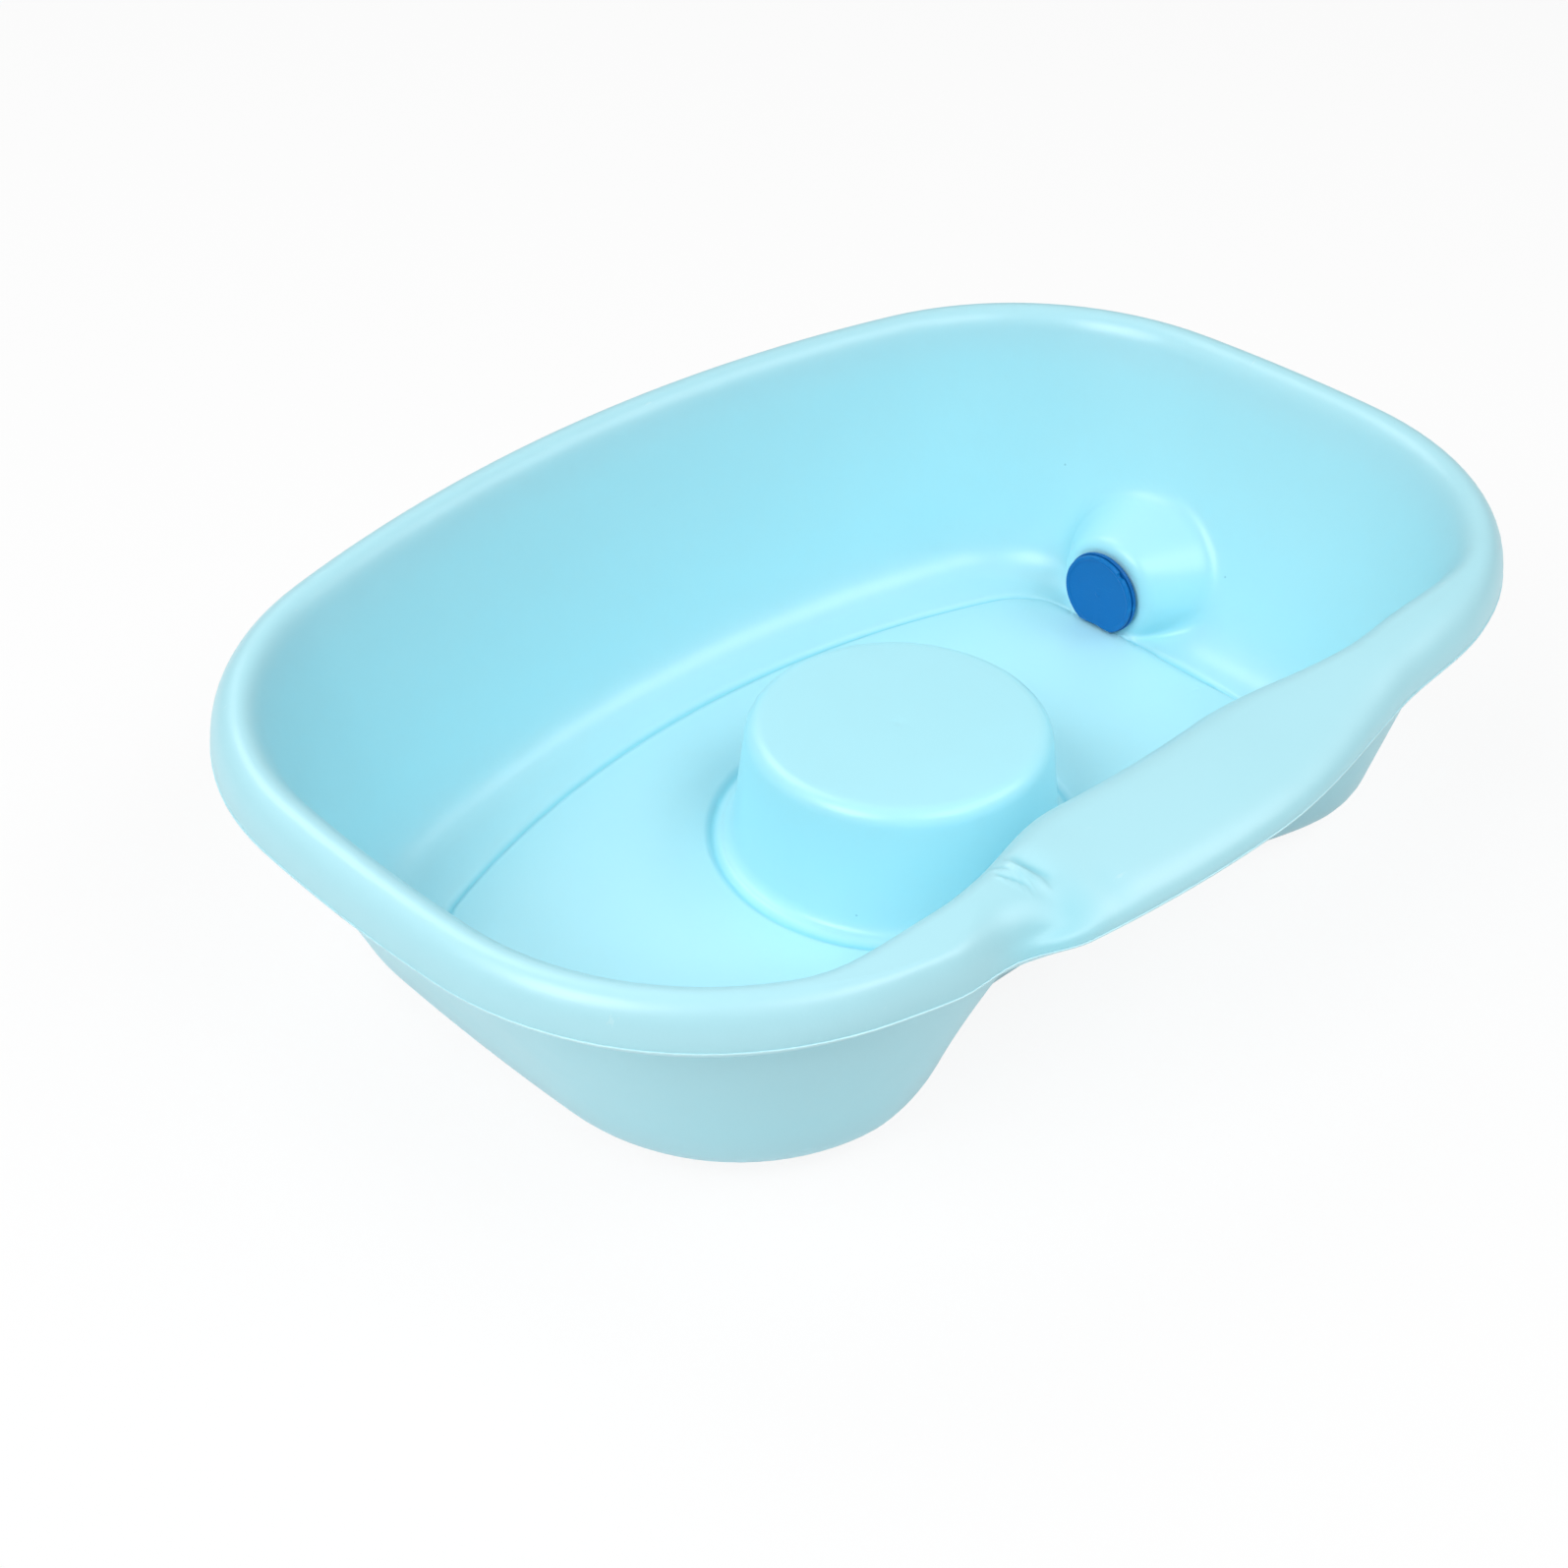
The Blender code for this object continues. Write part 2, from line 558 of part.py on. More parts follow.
def make_basin(collection, cutters):
    """Outer skin less the hollow between the walls, with the drain boss and all the holes."""
    top = Vector((0, PILLAR_SHIFT, FLOOR_HEIGHT + PILLAR_HEIGHT - PILLAR_DIMPLE_DEPTH))
    bottom = Vector((BASE_SLIDE, BASE_SHIFT, BASE_HOLLOW_DEPTH))
    skin = loft_mesh('basin_body', skin_sections(1, 0), top, bottom)
    basin = add_object('basin_body', skin, collection)

    depth = Vector((0, 0, SKIN_THICKNESS))
    inner_skin = skin_sections(HOLLOW_STEP_SHARE, SKIN_THICKNESS)
    hollow = add_cutter('hollow', loft_mesh('hollow', inner_skin, top - depth, bottom + depth), cutters)
    face = boss_face()
    length = RIM_LENGTH / 2 - face
    solid_radius = DRAIN_RECESS_MOUTH_RADIUS + DRAIN_SOLID_MARGIN
    solid = add_cutter('drain_solid', cone_mesh('drain_solid', solid_radius, solid_radius,
                                                length + 2 * CUT_OVERRUN), cutters)
    lay_along_x(solid, face - CUT_OVERRUN)
    combine(hollow, solid, 'DIFFERENCE')
    combine(basin, hollow, 'DIFFERENCE')

    boss = add_cutter('drain_boss', boss_mesh(), cutters)
    combine(basin, boss, 'UNION')
    recess_start = face + BOSS_END_WALL
    recess = add_cutter('drain_recess', cone_mesh('drain_recess', DRAIN_RECESS_RADIUS,
                                                  DRAIN_RECESS_MOUTH_RADIUS, length), cutters)
    lay_along_x(recess, recess_start)
    combine(basin, recess, 'DIFFERENCE')
    hole = add_cutter('drain_hole', cone_mesh('drain_hole', DRAIN_HOLE_RADIUS, DRAIN_HOLE_RADIUS,
                                              BOSS_END_WALL + 2 * CUT_OVERRUN), cutters)
    lay_along_x(hole, face - CUT_OVERRUN)
    combine(basin, hole, 'DIFFERENCE')

    depth = CUT_OVERRUN + BASE_HOLLOW_DEPTH + (FLOOR_HEIGHT - BASE_HOLLOW_DEPTH) / 2
    blow_hole = add_cutter('blow_hole', cone_mesh('blow_hole', BLOW_HOLE_RADIUS, BLOW_HOLE_RADIUS,
                                                  depth, BLOW_HOLE_SIDES), cutters)
    blow_hole.location = blow_hole_place() - Vector((0, 0, CUT_OVERRUN))
    combine(basin, blow_hole, 'DIFFERENCE')
    finish(basin, 'basin_plastic', *BASIN_PLASTIC)


def finish(piece, name, colour, roughness):
    """Smooth shading with sharp edges, and the piece's own material."""
    piece.data.shade_smooth()
    piece.data.set_sharp_from_angle(angle=SHARP_ANGLE)
    material = bpy.data.materials.new(name)
    material.use_nodes = True
    shader = material.node_tree.nodes['Principled BSDF']
    shader.inputs['Base Color'].default_value = colour
    shader.inputs['Roughness'].default_value = roughness
    shader.inputs['Metallic'].default_value = 0
    piece.data.materials.clear()
    piece.data.materials.append(material)


def turned(name, profile, collection, sides=ROUND_SIDES):
    """A closed ring or solid turned about Z from a profile of (radius, height) points."""
    mesh = bpy.data.meshes.new(name)
    points = [(radius, 0, height) for radius, height in profile]
    edges = [(index, index + 1) for index in range(len(points) - 1)]
    if min(profile[0][0], profile[-1][0]) > 0:
        edges.append((len(points) - 1, 0))
    mesh.from_pydata(points, edges, [])
    piece = add_object(name, mesh, collection)
    turn = piece.modifiers.new('turn', 'SCREW')
    turn.steps = sides
    turn.render_steps = sides
    turn.use_merge_vertices = True
    turn.merge_threshold = CLEARANCE / 10
    return piece


def flat_cutter(name, radius, thickness, drop, cutters):
    """A box that cuts the flat along the lower edge of a disc that lies along X."""
    shape = bmesh.new()
    bmesh.ops.create_cube(shape, size=1)
    depth = radius - drop + CUT_OVERRUN
    bmesh.ops.scale(shape, verts=shape.verts, vec=(thickness, 2 * radius + CUT_OVERRUN, depth))
    bmesh.ops.translate(shape, verts=shape.verts, vec=(0, 0, -drop - depth / 2))
    mesh = bpy.data.meshes.new(name)
    shape.to_mesh(mesh)
    shape.free()
    return add_cutter(name, mesh, cutters)


def flange_front():
    return boss_face() - CLEARANCE - WASHER_THICKNESS - CLEARANCE - OUTLET_FLANGE_THICKNESS


def make_outlet(collection, cutters):
    """Flange, threaded spigot and hose tail in one, with the mouth for the stopper."""
    thread_radius = DRAIN_HOLE_RADIUS - CLEARANCE
    thread_end = (OUTLET_FLANGE_THICKNESS + 2 * CLEARANCE + WASHER_THICKNESS + BOSS_END_WALL
                  + CLEARANCE + NUT_THICKNESS + OUTLET_THREAD_PITCH)
    tail_start = thread_end + BARB_NECK_LENGTH
    length = tail_start + BARB_COUNT * BARB_PITCH
    outside = [(OUTLET_FLANGE_RADIUS, 0), (OUTLET_FLANGE_RADIUS, OUTLET_FLANGE_THICKNESS)]
    ridges = int((thread_end - OUTLET_FLANGE_THICKNESS) / OUTLET_THREAD_PITCH)
    pitch = (thread_end - OUTLET_FLANGE_THICKNESS) / ridges
    for ridge in range(ridges):
        start = OUTLET_FLANGE_THICKNESS + ridge * pitch
        outside.append((thread_radius - OUTLET_THREAD_DEPTH, start))
        outside.append((thread_radius, start + pitch / 2))
    outside.append((thread_radius - OUTLET_THREAD_DEPTH, thread_end))
    outside.append((BARB_ROOT_RADIUS, thread_end))
    for barb in range(BARB_COUNT):
        start = tail_start + barb * BARB_PITCH
        outside.append((BARB_ROOT_RADIUS, start))
        outside.append((BARB_TIP_RADIUS, start))
    outside.append((BARB_ROOT_RADIUS, length))
    inside = [
        (OUTLET_BORE_RADIUS, length),
        (OUTLET_BORE_RADIUS, OUTLET_MOUTH_DEPTH),
        (OUTLET_MOUTH_RADIUS, OUTLET_MOUTH_DEPTH),
        (OUTLET_MOUTH_RADIUS, 0),
    ]
    outlet = turned('drain_outlet', (outside + inside)[::-1], collection, FITTING_SIDES)
    lay_along_x(outlet, flange_front())
    flat = flat_cutter('outlet_flat', OUTLET_FLANGE_RADIUS, OUTLET_FLANGE_THICKNESS * 3,
                       FLANGE_FLAT_DROP, cutters)
    flat.location = (flange_front(), DRAIN_SIDE, FLOOR_HEIGHT + DRAIN_RISE)
    combine(outlet, flat, 'DIFFERENCE')
    finish(outlet, 'outlet_plastic', *FITTING_PLASTIC)


def make_washer(collection):
    bore = DRAIN_HOLE_RADIUS + CLEARANCE
    profile = [(WASHER_RADIUS, WASHER_THICKNESS), (WASHER_RADIUS, 0), (bore, 0), (bore, WASHER_THICKNESS)]
    washer = turned('sealing_washer', profile, collection)
    lay_along_x(washer, boss_face() - CLEARANCE - WASHER_THICKNESS)
    finish(washer, 'washer_rubber', *WASHER_RUBBER)


def make_nut(collection, cutters):
    """Hexagonal lock nut that draws the flange against the boss from behind."""
    nut = add_object('lock_nut', cone_mesh('lock_nut', NUT_CORNER_RADIUS, NUT_CORNER_RADIUS,
                                           NUT_THICKNESS, NUT_SIDES), collection)
    bevel = nut.modifiers.new('edge', 'BEVEL')
    bevel.width = NUT_CHAMFER
    bevel.segments = 1
    lay_along_x(nut, boss_face() + BOSS_END_WALL + CLEARANCE)
    bore = add_cutter('nut_bore', cone_mesh('nut_bore', DRAIN_HOLE_RADIUS, DRAIN_HOLE_RADIUS,
                                            NUT_THICKNESS + 2 * CUT_OVERRUN), cutters)
    lay_along_x(bore, boss_face() + BOSS_END_WALL + CLEARANCE - CUT_OVERRUN)
    combine(nut, bore, 'DIFFERENCE')
    finish(nut, 'nut_plastic', *FITTING_PLASTIC)


def make_plug(collection, cutters):
    """Stopper with a D-shaped head, a finger notch and a hollow stem; it slides out along -X."""
    head = PLUG_HEAD_THICKNESS
    stem_radius = OUTLET_MOUTH_RADIUS - CLEARANCE
    length = head + CLEARANCE + PLUG_STEM_LENGTH
    profile = [
        (0, 0),
        (PLUG_HEAD_RADIUS - PLUG_HEAD_ROUND, 0),
        (PLUG_HEAD_RADIUS, PLUG_HEAD_ROUND),
        (PLUG_HEAD_RADIUS, head - PLUG_HEAD_ROUND),
        (PLUG_HEAD_RADIUS - PLUG_HEAD_ROUND, head),
        (stem_radius, head),
        (stem_radius - PLUG_STEM_TAPER, length),
        (stem_radius - PLUG_STEM_TAPER - PLUG_STEM_WALL, length),
        (stem_radius - PLUG_STEM_TAPER - PLUG_STEM_WALL, head),
        (0, head),
    ]
    plug = turned('drain_plug', profile[::-1], collection)
    front = flange_front() - CLEARANCE - head
    lay_along_x(plug, front)
    flat = flat_cutter('plug_flat', PLUG_HEAD_RADIUS, head * 3, PLUG_FLAT_DROP, cutters)
    flat.location = (front, DRAIN_SIDE, FLOOR_HEIGHT + DRAIN_RISE)
    combine(plug, flat, 'DIFFERENCE')
    notch = add_cutter('plug_notch', cone_mesh('plug_notch', PLUG_NOTCH_RADIUS, PLUG_NOTCH_RADIUS,
                                               head + 2 * CUT_OVERRUN, NOTCH_SIDES), cutters)
    lay_along_x(notch, front - CUT_OVERRUN)
    reach = PLUG_HEAD_RADIUS + PLUG_NOTCH_RADIUS - PLUG_NOTCH_DEPTH
    notch.location.y += reach * sin(PLUG_NOTCH_TURN)
    notch.location.z += reach * cos(PLUG_NOTCH_TURN)
    combine(plug, notch, 'DIFFERENCE')
    finish(plug, 'stopper_plastic', *STOPPER_PLASTIC)


def make_blow_plug(collection):
    """Flat-headed plug that closes the blow hole in the hollow of the base."""
    head_top = BASE_HOLLOW_DEPTH - CLEARANCE
    head_bottom = head_top - BLOW_PLUG_HEAD_THICKNESS
    stem_radius = BLOW_HOLE_RADIUS - CLEARANCE
    profile = [
        (0, head_top + BLOW_PLUG_DEPTH),
        (stem_radius, head_top + BLOW_PLUG_DEPTH),
        (stem_radius, head_top),
        (BLOW_PLUG_HEAD_RADIUS, head_top),
        (BLOW_PLUG_HEAD_RADIUS, head_bottom),
        (0, head_bottom),
    ]
    plug = turned('blow_hole_plug', profile, collection, BLOW_HOLE_SIDES)
    plug.location = blow_hole_place()
    finish(plug, 'blow_plug_plastic', *BLOW_PLUG_PLASTIC)


def main():
    for item in list(bpy.data.objects):
        bpy.data.objects.remove(item)
    collection = bpy.data.collections.new('shampoo_basin')
    cutters = bpy.data.collections.new('cutters')
    bpy.context.scene.collection.children.link(collection)
    bpy.context.scene.collection.children.link(cutters)
    make_basin(collection, cutters)
    make_outlet(collection, cutters)
    make_washer(collection)
    make_nut(collection, cutters)
    make_plug(collection, cutters)
    make_blow_plug(collection)


main()
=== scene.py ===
"""Portable shampoo basin, dressed: a smooth double-walled basin with a neck rest, a pillar and a
stoppered drain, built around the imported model, with its finishes, floor, lights and camera.

Metres, +Z up. X runs along the long side towards the drain, and the neck rest is on the -Y side.
"""
from math import cos, pi, radians, sin

import bmesh
import bpy
import numpy as np
from bpy.props import FloatProperty, FloatVectorProperty, PointerProperty
from mathutils import Euler, Matrix, Vector
from mathutils.bvhtree import BVHTree


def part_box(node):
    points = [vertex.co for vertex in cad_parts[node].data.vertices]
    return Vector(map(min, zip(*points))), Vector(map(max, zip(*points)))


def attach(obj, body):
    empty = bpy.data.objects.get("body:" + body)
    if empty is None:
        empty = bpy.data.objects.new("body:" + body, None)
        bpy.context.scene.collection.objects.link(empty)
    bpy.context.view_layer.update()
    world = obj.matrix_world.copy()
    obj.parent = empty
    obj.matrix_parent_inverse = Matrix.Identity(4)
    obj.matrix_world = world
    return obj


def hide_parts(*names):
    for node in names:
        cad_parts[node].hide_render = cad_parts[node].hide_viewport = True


bl_info = {
    "name": "Portable shampoo basin",
    "version": (1, 0, 0),
    "blender": (4, 5, 0),
    "location": "View3D > Sidebar > Basin",
    "description": "Builds the dressed shampoo basin, its drain, its finishes and its stage",
    "category": "Add Mesh",
}

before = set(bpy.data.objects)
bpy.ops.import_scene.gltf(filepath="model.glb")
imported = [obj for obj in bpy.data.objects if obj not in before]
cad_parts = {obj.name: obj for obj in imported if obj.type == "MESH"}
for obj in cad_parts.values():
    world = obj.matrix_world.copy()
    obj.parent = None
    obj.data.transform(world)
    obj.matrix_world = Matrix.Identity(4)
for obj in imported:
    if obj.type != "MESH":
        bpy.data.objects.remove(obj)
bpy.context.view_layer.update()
BODY_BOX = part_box("basin_body")
OUTLET_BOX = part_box("drain_outlet")
WASHER_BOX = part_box("sealing_washer")
NUT_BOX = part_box("lock_nut")
PLUG_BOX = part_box("drain_plug")
BLOW_PLUG_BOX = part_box("blow_hole_plug")

# Stations on the end, corner and side arc of each quarter, and more where the folds lie
LEFT_FRONT_STEPS = (12, 20, 34)
RIGHT_FRONT_STEPS = (30, 18, 34)
RIGHT_BACK_STEPS = (56, 18, 22)
LEFT_BACK_STEPS = (12, 20, 22)
FOLD_STEPS = 64
FOLD_SHARES = (0.34, 0.53)
LEG_LIMIT_SHARE = 0.97
ROUND_SIDES = 96
# Share of the flash line's half width that takes its painted highlight
FLASH_PAINTED_HIGHLIGHT_SHARE = 0.75
WHITE = (1, 1, 1, 1)
# Least length of a vector that is divided by, and a distance far under any size
TINY = 1e-9
SMALL = 1e-6
MERGE_DISTANCE = 1e-7

# Fittings: barbs of the hose tail, turn of the stopper's notch, the blow hole plug's head and stem, and
# how far the tool that cuts the recess's lip starts outside the wall
BARBS = 4
NOTCH_TURN = radians(-38)
NOTCH_SIDES = 24
NUT_SIDES = 6
BLOW_PLUG_HEAD = 0.0012
BLOW_PLUG_STEM = 0.0037
LIP_PROUD = 0.00006
LIP_STEPS = 6

# The drain boss: where the stretch of wall round it starts, half its width, and how the skin is drawn
# onto the boss: the first cone's slope, the passes, the share of smoothing and the share of each step
BOSS_STRETCH_START = 0.12
BOSS_STRETCH_HALF_WIDTH = 0.062
BOSS_FIRST_SLOPE = 2.2
BOSS_PASSES = 60
BOSS_SMOOTHING = 0.6
BOSS_STEP = 0.9
BOSS_LEAST_SLOPE = 0.2
# Rows of the skin that it takes up, and the row of the wall that shows where the stretch lies
BOSS_ROWS_BEFORE_GROOVE = 3
BOSS_ROWS_BELOW_CROWN = 14
BOSS_WALL_ROW = 20

# Creases of the plastic at the left end of the rest: the run in plan towards the front, how far it
# rises on the left and sinks on the right, half its width there, and how strong the painted shade is
CREASES = (
    (((-0.0826, -0.1262), (-0.0824, -0.1312), (-0.0814, -0.1358), (-0.0796, -0.1410)),
     0.00105, 0.0013, 1.0),
    (((-0.0912, -0.1296), (-0.0898, -0.1332), (-0.0882, -0.1362), (-0.0866, -0.1392)),
     0.00055, 0.0006, 0.9),
    (((-0.0896, -0.1250), (-0.0880, -0.1279), (-0.0858, -0.1304)), 0.00040, 0.0007, 0.5),
    (((-0.0862, -0.1335), (-0.0828, -0.1384)), 0.00035, 0.0005, 0.4),
)
# Right of its run a crease is this much wider; its shade lies this many widths aside, this many wide
CREASE_SPREAD = 2.8
CREASE_SHADE_PLACE = 1.4
CREASE_SHADE_WIDTH = 1.5
# Dents beside them: the run in plan, the depth, the reach and how strong the painted shade in them is
DENTS = (
    (((-0.0830, -0.1500), (-0.0900, -0.1530), (-0.0980, -0.1560)), 0.0028, 0.0105, 0.6),
    (((-0.0660, -0.1500), (-0.0655, -0.1560)), 0.0006, 0.0050, 0.2),
)

# Softboxes: name, turn from the front and height over the floor in degrees, width in metres and power
LAMPS = (
    ("left_lamp", -88, 45, 1.0, 18.0),
    ("front_lamp", 0, 52, 0.9, 9.0),
    ("right_lamp", 46, 45, 1.0, 8.4),
    ("back_lamp", 180, 50, 1.0, 9.1),
)
LAMP_DISTANCE = 1.8
LAMP_AIM = (0, 0, 0.04)
WORLD_STRENGTH = 0.05
# Shares of plain white that the camera and the reflections see, of the world and of the floor
WORLD_SEEN_SHARES = (1, 0.3)
FLOOR_SEEN_SHARES = (0.90, 0.55)
FLOOR_HALF_SIZE = 4
FLOOR_SQUARES = 24

# Camera fitted to the photo: its place, its turns about X, Y and Z in degrees, and its lens and sensor
CAMERA_PLACE = (-0.534557, -0.492926, 0.571568)
CAMERA_TURN = (52.9803, -0.3639, -44.2604)
CAMERA_LENS = 58.188
CAMERA_SENSOR = 36


def length(name, default, description):
    return FloatProperty(name=name, default=default, description=description, unit="LENGTH", precision=4)


def colour(name, default, description):
    return FloatVectorProperty(
        name=name, default=default, description=description, subtype="COLOR", size=3, min=0, max=1)


class BasinSizes(bpy.types.PropertyGroup):
    """Sizes of the moulded body."""
    rim_side_radius: length("Rim side radius", 0.516, "Radius of the rim's long sides")
    rim_end_radius: length("Rim end radius", 0.636, "Radius of the rim's ends")
    rim_corner_radius: length("Rim corner radius", 0.115, "Radius of the rim's corners")
    crown_depth: length("Crown depth", 0.0142, "Height from the flash line to the top of the rim")
    crown_width: length("Crown width", 0.0148, "Width of the rim seen from above")
    outer_round: length("Rim outer round", 0.0094, "Rounding of the rim's outer edge")
    inner_round: length("Rim inner round", 0.0050, "Rounding of the rim's inner edge")
    inner_round_depth: length("Inner round depth", 0.0080, "Depth of the rim's inner rounding")
    flash_height: length("Flash height", 0.0003, "How far the flash line stands out of the rim")
    flash_width: length("Flash width", 0.0004, "Half the width of the flash line")
    underside_depth: length("Underside depth", 0.0120, "Drop from the flash line to the outer wall")
    underside_width: length("Underside width", 0.0146, "Inset of the outer wall under the rim")
    underside_bulge: length("Underside bulge", 0.0010, "Fullness of the rim's underside")
    base_end_inset: length("Base end inset", 0.0515, "From the rim's end in to the base's end")
    base_side_inset: length("Base side inset", 0.0466, "From the rim's side in to the base's side")
    base_side_radius: length("Base side radius", 1.123, "Radius of the base's long sides")
    base_end_radius: length("Base end radius", 1.040, "Radius of the base's ends")
    base_corner_radius: length("Base corner radius", 0.0705, "Radius of the base's corners")
    base_shift: length("Base shift", 0.0036, "How far the base lies behind the rim's middle")
    base_slide: length("Base slide", 0.0015, "How far the base lies towards the drain end")
    base_swell: length("Base swell", 0.0040, "How far the lobe beside the recess stands out")
    base_swell_place: length("Swell place", 0.130, "Where the lobe stands out most")
    base_swell_reach: length("Swell reach", 0.040, "Half the length of the lobe")
    base_round: length("Base round", 0.0185, "Rounding of the base's edge")
    foot_width: length("Foot width", 0.0120, "Width of the ring that the basin stands on")
    foot_slope: length("Foot slope", 0.0030, "Run of the slope inside that ring")
    base_hollow: length("Base hollow", 0.0020, "Height of the hollow in the base")
    floor_height: length("Floor height", 0.0080, "Height of the bowl's floor")
    floor_end_setback: length("Floor end setback", 0.0075, "From the base's end to the floor's end")
    floor_side_setback: length("Floor side setback", 0.0079, "From the base's side to the floor's side")
    floor_side_radius: length("Floor side radius", 0.500, "Radius of the floor's long sides")
    floor_end_radius: length("Floor end radius", 0.650, "Radius of the floor's ends")
    floor_corner_radius: length("Floor corner radius", 0.0450, "Radius of the floor's corners")
    floor_shift: length("Floor shift", 0.0085, "How far the floor lies behind the rim's middle")
    floor_round: length("Floor round", 0.0120, "Rounding between the floor and the wall")
    groove_end_setback: length("Groove end setback", 0.0144, "From the floor's end to the groove")
    groove_side_setback: length("Groove side setback", 0.0163, "From the floor's side to the groove")
    groove_side_radius: length("Groove side radius", 0.362, "Radius of the groove's long sides")
    groove_end_radius: length("Groove end radius", 0.661, "Radius of the groove's ends")
    groove_corner_radius: length("Groove corner radius", 0.0265, "Radius of the groove's corners")
    groove_shift: length("Groove shift", 0.0047, "How far the groove lies behind the middle")
    groove_half_width: length("Groove half width", 0.0027, "Half the width of the grooves")
    groove_depth: length("Groove depth", 0.0019, "Depth of the grooves")
    ring_setback: length("Ring setback", 0.0068, "From the pillar's foot to the ring round it")
    pillar_height: length("Pillar height", 0.0474, "Height of the pillar over the floor")
    pillar_radius: length("Pillar radius", 0.0538, "Radius of the pillar's top")
    pillar_draft: length("Pillar draft", 0.0055, "How much wider the pillar's foot is")
    pillar_shift: length("Pillar shift", -0.0070, "How far the pillar lies behind the middle")
    pillar_round: length("Pillar round", 0.0060, "Rounding of the pillar's top edge")
    pillar_foot_round: length("Pillar foot round", 0.0045, "Rounding of the pillar's foot")
    dimple_radius: length("Dimple radius", 0.0030, "Radius of the gate mark on the pillar")
    dimple_depth: length("Dimple depth", 0.0003, "Depth of the gate mark on the pillar")


class RestSizes(bpy.types.PropertyGroup):
    """Sizes of the neck rest and of the recess below it."""
    flare: length("Flare", 0.0120, "How much wider the whole front rim is")
    flare_inner: length("Flare inner reach", 0.100, "Where the front rim has its full width")
    flare_outer: length("Flare outer reach", 0.170, "Where the front rim starts to widen")
    roll: length("Roll", 0.0190, "How far the rest swells into the bowl")
    roll_left_inner: length("Roll left inner", 0.054, "Left end of the rest's full width")
    roll_left_outer: length("Roll left outer", 0.118, "Left start of the rest")
    roll_right_inner: length("Roll right inner", 0.020, "Right end of the rest's full width")
    roll_right_outer: length("Roll right outer", 0.110, "Right start of the rest")
    drop: length("Drop", 0.0020, "How far the rest dips below the rim")
    outer_round: length("Rest outer round", 0.0200, "Extra rounding of the rest's outer edge")
    edge_sharpen: length("Edge sharpening", 0.0068, "How much sharper the edge is left of the rest")
    edge_place: length("Sharp edge place", 0.128, "Where the rim's edge is sharpest")
    edge_left_reach: length("Sharp edge left reach", 0.048, "How far the sharp edge runs to the left")
    edge_right_reach: length("Sharp edge right reach", 0.027, "How far it runs to the right")
    inner_round: length("Rest inner round", 0.0040, "Extra rounding of the rest's inner edge")
    underside_drop: length("Underside drop", 0.0043, "How much lower the rest's underside is")
    underside_bulge: length("Rest underside bulge", 0.0065, "Fullness of the rest's underside")
    left_pinch: length("Left pinch", 0.0040, "Depth of the notch left of the rest")
    left_pinch_place: length("Left pinch place", 0.104, "Where the left notch is deepest")
    left_pinch_reach: length("Left pinch reach", 0.024, "Half the length of the left notch")
    right_pinch: length("Right pinch", 0.0055, "Depth of the notch right of the rest")
    right_pinch_place: length("Right pinch place", 0.085, "Where the right notch is deepest")
    right_pinch_inner: length("Right pinch inner", 0.085, "Reach of the right notch to the middle")
    right_pinch_outer: length("Right pinch outer", 0.055, "Reach of the right notch to the end")
    recess_top: length("Recess top depth", 0.0240, "Depth of the recess under the rest")
    recess_ring_gap: length("Recess ring gap", 0.0020, "From the drawn-in wall to the pillar's ring")
    recess_wall_step: length("Recess wall step", 0.0115, "How much further the outer wall draws in")
    recess_inner: length("Recess inner reach", 0.035, "Half the length of the full recess")
    recess_outer: length("Recess outer reach", 0.118, "Half the length of the whole recess")
    recess_floor_round: length("Recess floor round", 0.0050, "Rounding of the floor at the recess")
    recess_base_round: length("Recess base round", 0.0090, "Rounding of the base at the recess")


